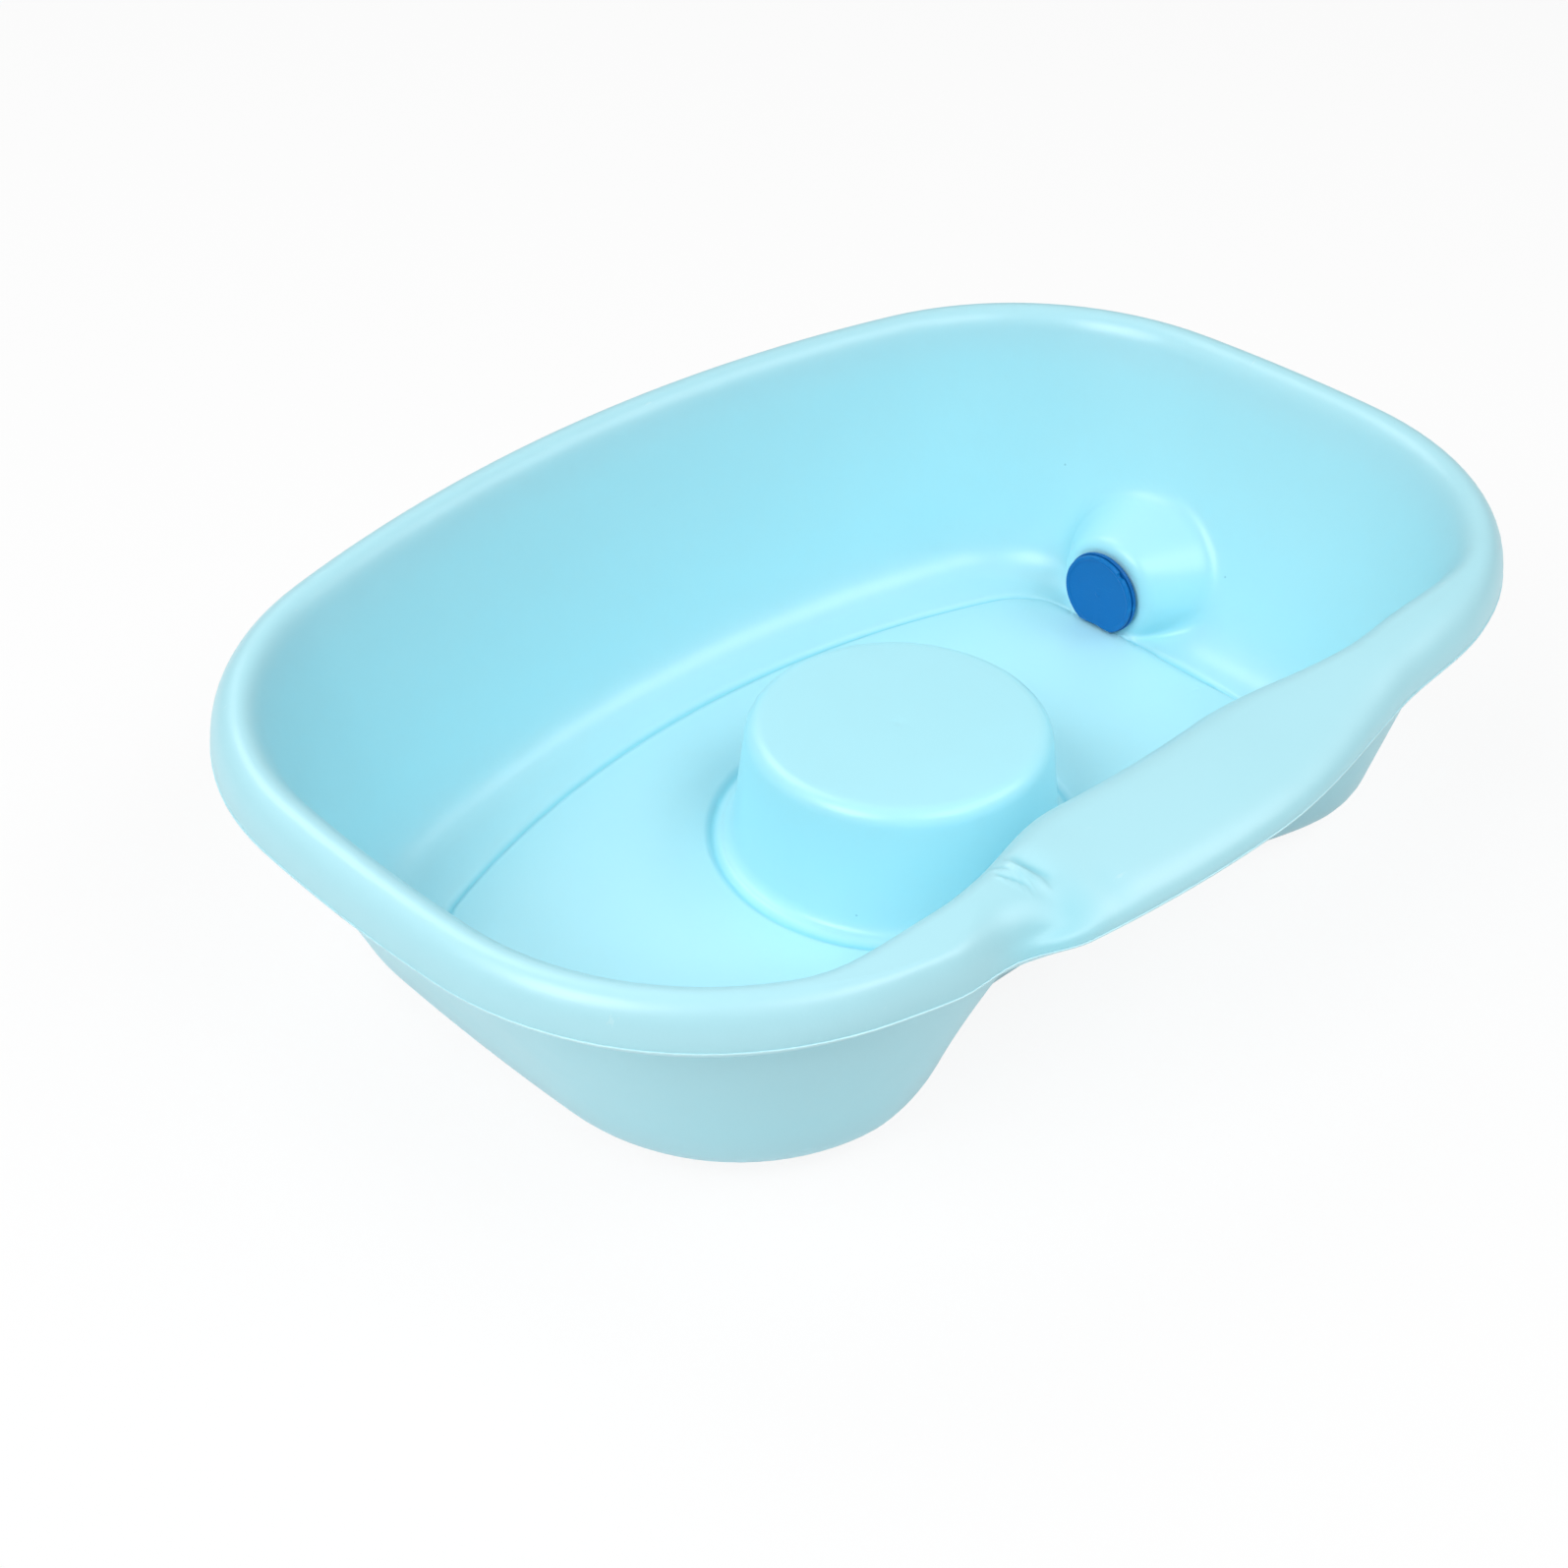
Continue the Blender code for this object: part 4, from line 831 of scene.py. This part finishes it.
def raise_boss(rows, starts, sizes, drain):
    """Wrap the stretch of the skin at the drain over the boss, with a soft fillet all round."""
    first = starts["groove"] - BOSS_ROWS_BEFORE_GROOVE
    last = starts["crown"] - BOSS_ROWS_BELOW_CROWN
    wall = rows[starts["wall"] + BOSS_WALL_ROW]
    near = np.flatnonzero((wall[:, 0] > BOSS_STRETCH_START) & (
        abs(wall[:, 1] - drain.side) < BOSS_STRETCH_HALF_WIDTH))
    left, right = near[0], near[-1] + 1
    block = rows[first:last, left:right].copy()
    height, width = block.shape[:2]
    index = np.arange(height * width).reshape(height, width)
    quads = np.stack((index[:-1, :-1], index[:-1, 1:], index[1:, 1:], index[1:, :-1]), -1).reshape(-1, 4)
    tree = BVHTree.FromPolygons(block.reshape(-1, 3).tolist(), quads.tolist())
    face = boss_face(sizes, drain)
    across = block[..., 1] - drain.side
    up = block[..., 2] - drain_height(sizes, drain)
    cone = face + np.maximum(np.hypot(across, up) - drain.boss_face_radius, 0) * BOSS_FIRST_SLOPE
    inner = slice(1, -1)
    block[inner, inner, 0] = np.minimum(block[..., 0], cone)[inner, inner]
    for _ in range(BOSS_PASSES):
        middle = (block[:-2, inner] + block[2:, inner] + block[inner, :-2] + block[inner, 2:]) / 4
        smoothed = block[inner, inner] * (1 - BOSS_SMOOTHING) + middle * BOSS_SMOOTHING
        points = smoothed.reshape(-1, 3)
        skin, normals = [], []
        for point in points.tolist():
            place, normal, _, _ = tree.find_nearest(point)
            skin.append(place)
            normals.append(normal)
        skin, normals = np.array(skin), np.array(normals)
        normals *= np.sign(-normals[:, :1] + normals[:, 2:])
        skin_distance = ((points - skin) * normals).sum(1)
        boss = boss_distance(points, sizes, drain)
        slopes = [
            (boss_distance(points + move, sizes, drain) - boss) / SMALL for move in np.eye(3) * SMALL]
        share = np.clip(0.5 + 0.5 * (boss - skin_distance) / drain.boss_fillet, 0, 1)[:, None]
        away = unit(np.stack(slopes, 1)) * (1 - share) + normals * share
        distance = soft_least(skin_distance, boss, drain.boss_fillet)
        slope = np.maximum((away ** 2).sum(1), BOSS_LEAST_SLOPE)
        points -= away * (distance / slope)[:, None] * BOSS_STEP
        block[inner, inner] = points.reshape(height - 2, width - 2, 3)
    rows[first:last, left:right] = block


def beside_run(places, run):
    """Distance to the right of a run of points, distance past its ends and share of its length."""
    run = np.array(run)
    best = np.full(places.shape[:2], np.inf)
    across, past, share = (np.zeros(places.shape[:2]) for _ in range(3))
    count = len(run) - 1
    for index, (start, end) in enumerate(zip(run, run[1:])):
        way = end - start
        reach = np.hypot(*way)
        along = (places - start) @ way / reach
        side = (way[0] * (places - start)[..., 1] - way[1] * (places - start)[..., 0]) / reach
        inside = np.clip(along, 0, reach)
        gap = np.hypot(side, along - inside)
        nearer = gap < best
        best = np.where(nearer, gap, best)
        across = np.where(nearer, side, across)
        past = np.where(nearer, along - inside, past)
        share = np.where(nearer, (index + inside / reach) / count, share)
    return across, past, share


def crease_taper(past, share, width):
    """How strong a crease is along its run: full in the middle and nothing past its ends."""
    return np.sqrt(np.sin(pi * share)) * np.exp(-(past / width) ** 2)


def dent_share(across, past, reach):
    """How strong a dent is beside its run."""
    return np.exp(-(across ** 2 + past ** 2) / reach ** 2)


def press_folds(rows, starts, sizes):
    """Press the creases and dents into the crown of the rim, but leave its outer edge."""
    crown = rows[starts["crown"]:starts["flash"]]
    normal = unit(np.cross(np.gradient(crown, axis=0), np.gradient(crown, axis=1)))
    normal *= np.sign(normal[..., 2:])
    edge = BODY_BOX[1].z - sizes.crown_depth
    fade = smooth_step(crown[..., 2], edge, edge + sizes.crown_depth / 2)
    places = crown[..., :2].copy()
    move = np.zeros(crown.shape[:2])
    for run, height, width, _ in CREASES:
        across, past, share = beside_run(places, run)
        turn = across / np.where(across > 0, width * CREASE_SPREAD, width)
        move -= height * crease_taper(past, share, width) * turn * np.exp((1 - turn ** 2) / 2)
    for run, depth, reach, _ in DENTS:
        across, past, _ = beside_run(places, run)
        move -= depth * dent_share(across, past, reach)
    crown += normal * (fade * move)[..., None]


def grid_mesh(name, rows, first_pole, last_pole):
    """A closed mesh over rows that run round, with one point in the middle of each end."""
    count = rows.shape[1]
    total = rows.shape[0] * count
    points = np.concatenate((rows.reshape(-1, 3), [first_pole, last_pole]))
    index = np.arange(total).reshape(rows.shape[0], count)
    turned = np.roll(index, -1, 1)
    quads = np.stack((index[:-1], index[1:], turned[1:], turned[:-1]), -1).reshape(-1, 4)
    faces = quads.tolist()
    faces += [(total, int(a), int(b)) for a, b in zip(index[0], turned[0])]
    faces += [(total + 1, int(b), int(a)) for a, b in zip(index[-1], turned[-1])]
    mesh = bpy.data.meshes.new(name)
    mesh.from_pydata(points.tolist(), [], faces)
    return mesh


def turned_mesh(name, profile, sides=ROUND_SIDES, radius_of=None):
    """A closed ring or solid turned about X from a profile of (radius, x) points."""
    profile = np.array(profile)
    turns = np.arange(sides) * 2 * pi / sides
    radius = np.broadcast_to(profile[:, :1], (len(profile), sides)).copy()
    if radius_of:
        radius = radius_of(radius, profile[:, 1:], turns[None])
    along = np.broadcast_to(profile[:, 1:], radius.shape)
    ring = np.stack((along, radius * np.sin(turns), radius * np.cos(turns)), -1)
    solid = profile[0, 0] == 0
    if solid:
        ring = ring[1:-1]
    index = np.arange(ring.shape[0] * sides).reshape(ring.shape[0], sides)
    rows = index if solid else np.concatenate((index, index[:1]))
    following = np.roll(rows, -1, 1)
    faces = np.stack((rows[:-1], following[:-1], following[1:], rows[1:]), -1).reshape(-1, 4).tolist()
    points = ring.reshape(-1, 3).tolist()
    if solid:
        total = len(points)
        points += [(profile[0, 1], 0, 0), (profile[-1, 1], 0, 0)]
        faces += [(total, int(b), int(a)) for a, b in zip(index[0], following[0])]
        faces += [(total + 1, int(a), int(b)) for a, b in zip(index[-1], np.roll(index[-1], -1))]
    mesh = bpy.data.meshes.new(name)
    mesh.from_pydata(points, [], faces)
    return mesh


def softened(profile, legs, steps=3, closed=False):
    """A flat profile of (radius, x) points with each corner rounded by its leg."""
    points = [np.array(point, float) for point in profile]
    count = len(points)
    line = []
    for index, point in enumerate(points):
        leg = legs[index] if isinstance(legs, (list, tuple)) else legs
        if leg == 0 or (not closed and index in (0, count - 1)):
            line.append(tuple(point))
            continue
        before, after = points[index - 1], points[(index + 1) % count]
        reach = min(leg, np.hypot(*(before - point)) / 2, np.hypot(*(after - point)) / 2)
        start = point + unit(before - point) * reach
        end = point + unit(after - point) * reach
        for step in range(steps + 1):
            share = step / steps
            place = start * (1 - share) ** 2 + point * 2 * share * (1 - share) + end * share ** 2
            line.append(tuple(place))
    return line


def new_piece(name, mesh):
    piece = bpy.data.objects.new(name, mesh)
    bpy.context.scene.collection.objects.link(piece)
    return piece


def kept_mesh(name, shape):
    """Keep a bmesh as a mesh."""
    mesh = bpy.data.meshes.new(name)
    shape.to_mesh(mesh)
    shape.free()
    return mesh


def outward(mesh):
    """Make every face look outwards."""
    shape = bmesh.new()
    shape.from_mesh(mesh)
    bmesh.ops.remove_doubles(shape, verts=shape.verts, dist=MERGE_DISTANCE)
    bmesh.ops.recalc_face_normals(shape, faces=shape.faces)
    shape.to_mesh(mesh)
    shape.free()


def turned_piece(name, profile, **options):
    """A piece turned about the X axis."""
    mesh = turned_mesh(name, profile, **options)
    outward(mesh)
    return new_piece(name, mesh)


def rod(radius, low, high, sides=ROUND_SIDES):
    """A closed rod about the X axis, to cut with."""
    return turned_mesh("rod", [(0, low), (radius, low), (radius, high), (0, high)], sides)


def disc_size(box):
    """Radius and length of a piece about the X axis, from its box."""
    low, high = box
    return (high.y - low.y) / 2, high.x - low.x


def chosen(context):
    """The sizes of the body, the rest and the drain, and the colours."""
    scene = context.scene
    return scene.basin_sizes, scene.rest_sizes, scene.drain_sizes, scene.finish_colours


def cut(piece, mesh, operation="DIFFERENCE"):
    """Cut or join another closed mesh, and keep the result as the piece's own mesh."""
    outward(mesh)
    tool = new_piece("tool", mesh)
    step = piece.modifiers.new("step", "BOOLEAN")
    step.operation = operation
    step.object = tool
    apply_modifiers(piece)
    bpy.data.objects.remove(tool)


def apply_modifiers(piece):
    graph = bpy.context.evaluated_depsgraph_get()
    graph.update()
    mesh = bpy.data.meshes.new_from_object(piece.evaluated_get(graph))
    piece.modifiers.clear()
    piece.data = mesh


def bevelled(piece, width, segments=2, angle=35):
    step = piece.modifiers.new("edges", "BEVEL")
    step.width = width
    step.segments = segments
    step.limit_method = "ANGLE"
    step.angle_limit = radians(angle)
    apply_modifiers(piece)


def dress(piece, material, node, body, sharp=40):
    """Smooth shading, the finish, and the node and body that the piece belongs to."""
    piece.data.shade_smooth()
    piece.data.set_sharp_from_angle(angle=radians(sharp))
    piece.data.materials.clear()
    piece.data.materials.append(material)
    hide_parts(node)
    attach(piece, body)


def laid(mesh, x, sizes, drain):
    """Move a mesh that was made about the X axis onto the drain's axis."""
    mesh.transform(Matrix.Translation((x, drain.side, drain_height(sizes, drain))))
    return mesh


def flat_tool(radius, low, high, drop):
    """Block that takes off the lower edge of a disc about the X axis."""
    shape = bmesh.new()
    bmesh.ops.create_cube(shape, size=1)
    size = Vector((high - low, radius * 3, radius))
    bmesh.ops.scale(shape, verts=shape.verts, vec=size)
    bmesh.ops.translate(shape, verts=shape.verts, vec=((low + high) / 2, 0, -drop - radius / 2))
    return kept_mesh("flat_tool", shape)


def recess_tool(body, sizes, drain):
    """The recess behind the boss, with a mouth that opens smoothly into the sloping outer wall."""
    shape = bmesh.new()
    shape.from_mesh(body.data)
    tree = BVHTree.FromBMesh(shape)
    shape.free()
    start = boss_face(sizes, drain) + drain.end_wall
    middle = Vector((0, drain.side, drain_height(sizes, drain)))
    lip = drain.recess_lip
    rings = []
    for side in range(ROUND_SIDES):
        turn = 2 * pi * (side + 0.5) / ROUND_SIDES
        flat = Vector((0, sin(turn), cos(turn)))

        def wall(radius):
            origin = middle + flat * radius + Vector((BODY_BOX[1].x * 2, 0, 0))
            return tree.ray_cast(origin, Vector((-1, 0, 0)))[0].x

        mouth = wall(drain.recess_mouth)
        line = [(drain.recess_radius / 2, start)]
        corners = [(0, start), (drain.recess_radius, start), (drain.recess_mouth, mouth - lip)]
        line += softened(corners, [0, lip, 0])[1:]
        for step in range(1, LIP_STEPS + 1):
            share = step / LIP_STEPS
            radius = drain.recess_mouth + lip * (1 - cos(share * pi / 2))
            line.append((radius, wall(radius) - lip * (1 - sin(share * pi / 2)) + share * LIP_PROUD))
        line.append((radius + lip, wall(radius + lip) + lip))
        line.append((radius + lip, BODY_BOX[1].x))
        rings.append([middle + flat * radius + Vector((x, 0, 0)) for radius, x in line])
    rows = np.array([[tuple(point) for point in ring] for ring in rings]).transpose(1, 0, 2)
    ends = [tuple(middle + Vector((x, 0, 0))) for x in (start, BODY_BOX[1].x)]
    return grid_mesh("recess_tool", rows, *ends)


def mark_skin(piece, sizes):
    """Store on every point the painted highlight on the flash line and the painted shade in the
    grooves, creases and dents, for the finish to read.
    """
    mesh = piece.data
    places, normals = (np.zeros(len(mesh.vertices) * 3) for _ in range(2))
    mesh.vertices.foreach_get("co", places)
    mesh.vertices.foreach_get("normal", normals)
    places, normals = places.reshape(-1, 3), normals.reshape(-1, 3)
    parting = BODY_BOX[1].z - sizes.crown_depth
    # Painted highlight: a lighter line on the outer side of the flash line
    flash = abs(places[:, 2] - parting) < sizes.flash_width * FLASH_PAINTED_HIGHLIGHT_SHARE
    flash &= (normals[:, :2] * places[:, :2]).sum(1) > 0
    # Painted shade: darker at the bottom of the grooves in the floor, on faces that look up
    crease = smooth_step(sizes.floor_height - places[:, 2], 0, sizes.groove_depth) * (normals[:, 2] > 0)
    # Painted shade beside each crease and in each dent, only above the flash line
    plan = places[None, :, :2]
    painted_crease_and_dent_shades = []
    for run, _, width, painted_shade_strength in CREASES:
        across, past, share = beside_run(plan, run)
        aside = (across / width - CREASE_SHADE_PLACE) / CREASE_SHADE_WIDTH
        painted_crease_and_dent_shades.append(painted_shade_strength * crease_taper(past, share, width) * np.exp(-aside ** 2))
    for run, _, reach, painted_shade_strength in DENTS:
        across, past, _ = beside_run(plan, run)
        painted_crease_and_dent_shades.append(painted_shade_strength * dent_share(across, past, reach))
    crease = np.maximum(crease, np.max(painted_crease_and_dent_shades, axis=0)[0] * (places[:, 2] > parting))
    for name, values in (("flash", flash), ("crease", crease)):
        attribute = mesh.attributes.new(name, "FLOAT", "POINT")
        attribute.data.foreach_set("value", values.astype(np.float32))


class BuildBody(bpy.types.Operator):
    """Build the moulded body with its rim, neck rest, pillar and drain boss"""
    bl_idname = "shampoo_basin.body"
    bl_label = "Basin body"

    def execute(self, context):
        sizes, rest, drain, colours = chosen(context)
        rows, starts = basin_rows(sizes, rest)
        raise_boss(rows, starts, sizes, drain)
        press_folds(rows, starts, sizes)
        top = (0, sizes.pillar_shift, sizes.floor_height + sizes.pillar_height - sizes.dimple_depth)
        bottom = (sizes.base_slide, sizes.base_shift, sizes.base_hollow)
        piece = new_piece("moulded_body", grid_mesh("moulded_body", rows, top, bottom))
        outward(piece.data)
        cut(piece, recess_tool(piece, sizes, drain))
        hole = rod(drain.hole_radius, -drain.end_wall, drain.end_wall * 2)
        cut(piece, laid(hole, boss_face(sizes, drain), sizes, drain))
        mark_skin(piece, sizes)
        dress(piece, basin_plastic(colours), "basin_body", "basin")
        return {"FINISHED"}


class BuildOutlet(bpy.types.Operator):
    """Build the outlet fitting: flange, threaded spigot and barbed hose tail"""
    bl_idname = "shampoo_basin.outlet"
    bl_label = "Drain outlet"

    def execute(self, context):
        sizes, _, drain, colours = chosen(context)
        radius, total = disc_size(OUTLET_BOX)
        thread_radius = drain.hole_radius - drain.clearance
        root = thread_radius - drain.thread_depth
        flange = drain.flange_thickness
        thread_end = flange + drain.thread_length
        tail = total - BARBS * drain.barb_pitch
        edge = drain.edge_round
        outside = [(radius, 0), (radius, flange), (root, flange)]
        legs = [edge, edge, 0]
        thread_rows = int(drain.thread_length / drain.thread_pitch * 10)
        for row in range(1, thread_rows):
            outside.append((root, flange + drain.thread_length * row / thread_rows))
            legs.append(0)
        outside += [(root, thread_end), (drain.barb_root, thread_end)]
        legs += [edge, edge]
        for barb in range(BARBS):
            start = tail + barb * drain.barb_pitch
            outside += [(drain.barb_root, start), (drain.barb_tip, start + edge)]
            legs += [edge / 2, edge]
        outside += [(drain.barb_root, total)]
        inside = [
            (drain.bore_radius, total), (drain.bore_radius, drain.mouth_depth),
            (drain.mouth_radius, drain.mouth_depth), (drain.mouth_radius, 0)]
        legs += [edge] * 5
        profile = softened(outside + inside, legs, closed=True)

        def threaded(radii, along, turns):
            phase = (along - flange) / drain.thread_pitch - turns / (2 * pi)
            ridge = (1 + np.cos(phase * 2 * pi)) / 2
            fade = smooth_step(along, flange, flange + drain.thread_pitch)
            fade = fade * smooth_step(-along, -thread_end, -thread_end + drain.thread_pitch)
            on_thread = (abs(radii - root) < SMALL) & (along > flange)
            return radii + on_thread * fade * ridge * drain.thread_depth

        piece = turned_piece("outlet_fitting", profile, radius_of=threaded)
        cut(piece, flat_tool(radius, -flange, flange * 3, drain.flat_drop))
        laid(piece.data, OUTLET_BOX[0].x, sizes, drain)
        material = fitting_plastic("fitting_plastic", colours.fitting, colours.stopper_worn)
        dress(piece, material, "drain_outlet", "basin")
        return {"FINISHED"}


class BuildWasher(bpy.types.Operator):
    """Build the rubber washer between the flange and the boss"""
    bl_idname = "shampoo_basin.washer"
    bl_label = "Sealing washer"

    def execute(self, context):
        sizes, _, drain, colours = chosen(context)
        radius, thickness = disc_size(WASHER_BOX)
        bore = drain.hole_radius + drain.clearance
        profile = [(radius, 0), (radius, thickness), (bore, thickness), (bore, 0)]
        piece = turned_piece("rubber_washer", softened(profile, drain.edge_round, closed=True))
        laid(piece.data, WASHER_BOX[0].x, sizes, drain)
        dress(piece, washer_rubber(colours), "sealing_washer", "basin")
        return {"FINISHED"}


class BuildNut(bpy.types.Operator):
    """Build the hexagonal lock nut behind the boss"""
    bl_idname = "shampoo_basin.nut"
    bl_label = "Lock nut"

    def execute(self, context):
        sizes, _, drain, colours = chosen(context)
        half_width, thickness = disc_size(NUT_BOX)
        corner = max((NUT_BOX[1].z - NUT_BOX[0].z) / 2, half_width)
        chamfer = drain.nut_chamfer
        disc = [
            (0, 0), (corner - chamfer * 2, 0), (corner, chamfer), (corner, thickness - chamfer),
            (corner - chamfer * 2, thickness), (0, thickness)]
        piece = turned_piece("hexagon_nut", disc)
        hexagon = rod(corner, -thickness, thickness * 2, NUT_SIDES)
        hexagon.transform(Matrix.Rotation(pi / NUT_SIDES, 4, "X"))
        cut(piece, hexagon, "INTERSECT")
        cut(piece, rod(drain.hole_radius, -thickness, thickness * 2))
        bevelled(piece, chamfer / 3)
        laid(piece.data, NUT_BOX[0].x, sizes, drain)
        material = fitting_plastic("nut_plastic", colours.fitting, colours.stopper_worn)
        dress(piece, material, "lock_nut", "basin")
        return {"FINISHED"}


class BuildStopper(bpy.types.Operator):
    """Build the stopper: D-shaped head with a raised rim and a finger notch, and its stem"""
    bl_idname = "shampoo_basin.stopper"
    bl_label = "Stopper"

    def execute(self, context):
        sizes, _, drain, colours = chosen(context)
        radius, total = disc_size(PLUG_BOX)
        head = drain.head_thickness
        stem = drain.mouth_radius - drain.clearance
        taper = drain.clearance
        bore = stem - taper - drain.stem_wall
        inner_rim = radius - drain.head_rim_width
        low = drain.head_rim_height
        edge = drain.edge_round
        profile = [
            (0, low / 2), (edge * 2, low / 2), (edge * 3, low), (inner_rim - low, low), (inner_rim, 0),
            (radius, 0), (radius, head), (stem, head), (stem - taper, total), (bore, total),
            (bore, head + edge), (0, head + edge)]
        legs = [0, edge / 2, edge / 2, low, low, edge, edge, edge / 2, edge, edge, edge, 0]
        piece = turned_piece("stopper", softened(profile, legs))
        cut(piece, flat_tool(radius, -head, head * 2, drain.flat_drop))
        notch = rod(drain.notch_radius, -head, head * 3, NOTCH_SIDES)
        reach = radius + drain.notch_radius - drain.notch_depth
        notch.transform(Matrix.Translation((0, reach * sin(NOTCH_TURN), reach * cos(NOTCH_TURN))))
        cut(piece, notch)
        laid(piece.data, PLUG_BOX[0].x, sizes, drain)
        material = fitting_plastic("stopper_plastic", colours.stopper, colours.stopper_worn)
        dress(piece, material, "drain_plug", "stopper")
        return {"FINISHED"}


class BuildBlowPlug(bpy.types.Operator):
    """Build the plug of the blow hole under the base"""
    bl_idname = "shampoo_basin.blow_plug"
    bl_label = "Blow hole plug"

    def execute(self, context):
        _, _, drain, colours = chosen(context)
        low, high = BLOW_PLUG_BOX
        radius = (high.x - low.x) / 2
        total = high.z - low.z
        head, stem = BLOW_PLUG_HEAD, BLOW_PLUG_STEM
        edge = drain.edge_round
        profile = [
            (0, edge), (radius / 4, edge), (radius / 3, 0), (radius, 0), (radius, head), (stem, head),
            (stem, total), (0, total)]
        piece = turned_piece("base_plug", softened(profile, edge))
        piece.data.transform(Matrix.Rotation(radians(-90), 4, "Y"))
        piece.data.transform(Matrix.Translation(((low.x + high.x) / 2, (low.y + high.y) / 2, low.z)))
        dress(piece, basin_plastic(colours), "blow_hole_plug", "basin")
        return {"FINISHED"}


class BuildStage(bpy.types.Operator):
    """Build the floor, the lamps, the world and the camera"""
    bl_idname = "shampoo_basin.stage"
    bl_label = "Stage"

    def execute(self, context):
        scene = context.scene
        shape = bmesh.new()
        bmesh.ops.create_grid(
            shape, x_segments=FLOOR_SQUARES, y_segments=FLOOR_SQUARES, size=FLOOR_HALF_SIZE)
        mesh = kept_mesh("floor", shape)
        mesh.materials.append(floor_white(scene.finish_colours))
        floor = new_piece("floor", mesh)
        for lamp in LAMPS:
            add_lamp(*lamp)
        scene.world = studio_world()
        data = bpy.data.cameras.new("camera")
        data.lens = CAMERA_LENS
        data.sensor_width = CAMERA_SENSOR
        data.sensor_fit = "HORIZONTAL"
        camera = bpy.data.objects.new("camera", data)
        turn = Euler([radians(angle) for angle in CAMERA_TURN]).to_matrix().to_4x4()
        camera.matrix_world = Matrix.Translation(CAMERA_PLACE) @ turn
        scene.collection.objects.link(camera)
        scene.camera = camera
        scene.view_settings.view_transform = "Standard"
        return {"FINISHED"}


def add_lamp(name, turn, height, width, power):
    """A round softbox that looks at the basin from the given side and height."""
    data = bpy.data.lights.new(name, "AREA")
    data.shape = "DISK"
    data.size = width
    data.energy = power
    away = Vector((sin(radians(turn)) * cos(radians(height)), -cos(radians(turn)) * cos(radians(height)),
                   sin(radians(height))))
    lamp = bpy.data.objects.new(name, data)
    lamp.location = Vector(LAMP_AIM) + away * LAMP_DISTANCE
    lamp.rotation_euler = away.to_track_quat("Z", "Y").to_euler()
    bpy.context.scene.collection.objects.link(lamp)


BUILDERS = (BuildBody, BuildOutlet, BuildWasher, BuildNut, BuildStopper, BuildBlowPlug, BuildStage)


class BasinPanel(bpy.types.Panel):
    """Lists the pieces and their sizes."""
    bl_idname = "VIEW3D_PT_shampoo_basin"
    bl_label = "Shampoo basin"
    bl_space_type = "VIEW_3D"
    bl_region_type = "UI"
    bl_category = "Basin"

    def draw(self, context):
        for builder in BUILDERS:
            self.layout.operator(builder.bl_idname)
        for group in GROUPS:
            box = self.layout.box()
            settings = getattr(context.scene, group)
            for name in settings.bl_rna.properties.keys():
                if name not in ("rna_type", "name"):
                    box.prop(settings, name)


GROUPS = {
    "basin_sizes": BasinSizes,
    "rest_sizes": RestSizes,
    "drain_sizes": DrainSizes,
    "finish_colours": FinishColours,
}


def register():
    for group in GROUPS.values():
        bpy.utils.register_class(group)
    for name, group in GROUPS.items():
        setattr(bpy.types.Scene, name, PointerProperty(type=group))
    for item in (*BUILDERS, BasinPanel):
        bpy.utils.register_class(item)


def unregister():
    for item in (BasinPanel, *BUILDERS):
        bpy.utils.unregister_class(item)
    for name, group in GROUPS.items():
        delattr(bpy.types.Scene, name)
        bpy.utils.unregister_class(group)


def main():
    register()
    bpy.ops.shampoo_basin.body()
    bpy.ops.shampoo_basin.outlet()
    bpy.ops.shampoo_basin.washer()
    bpy.ops.shampoo_basin.nut()
    bpy.ops.shampoo_basin.stopper()
    bpy.ops.shampoo_basin.blow_plug()
    bpy.ops.shampoo_basin.stage()


if __name__ == "__main__":
    main()
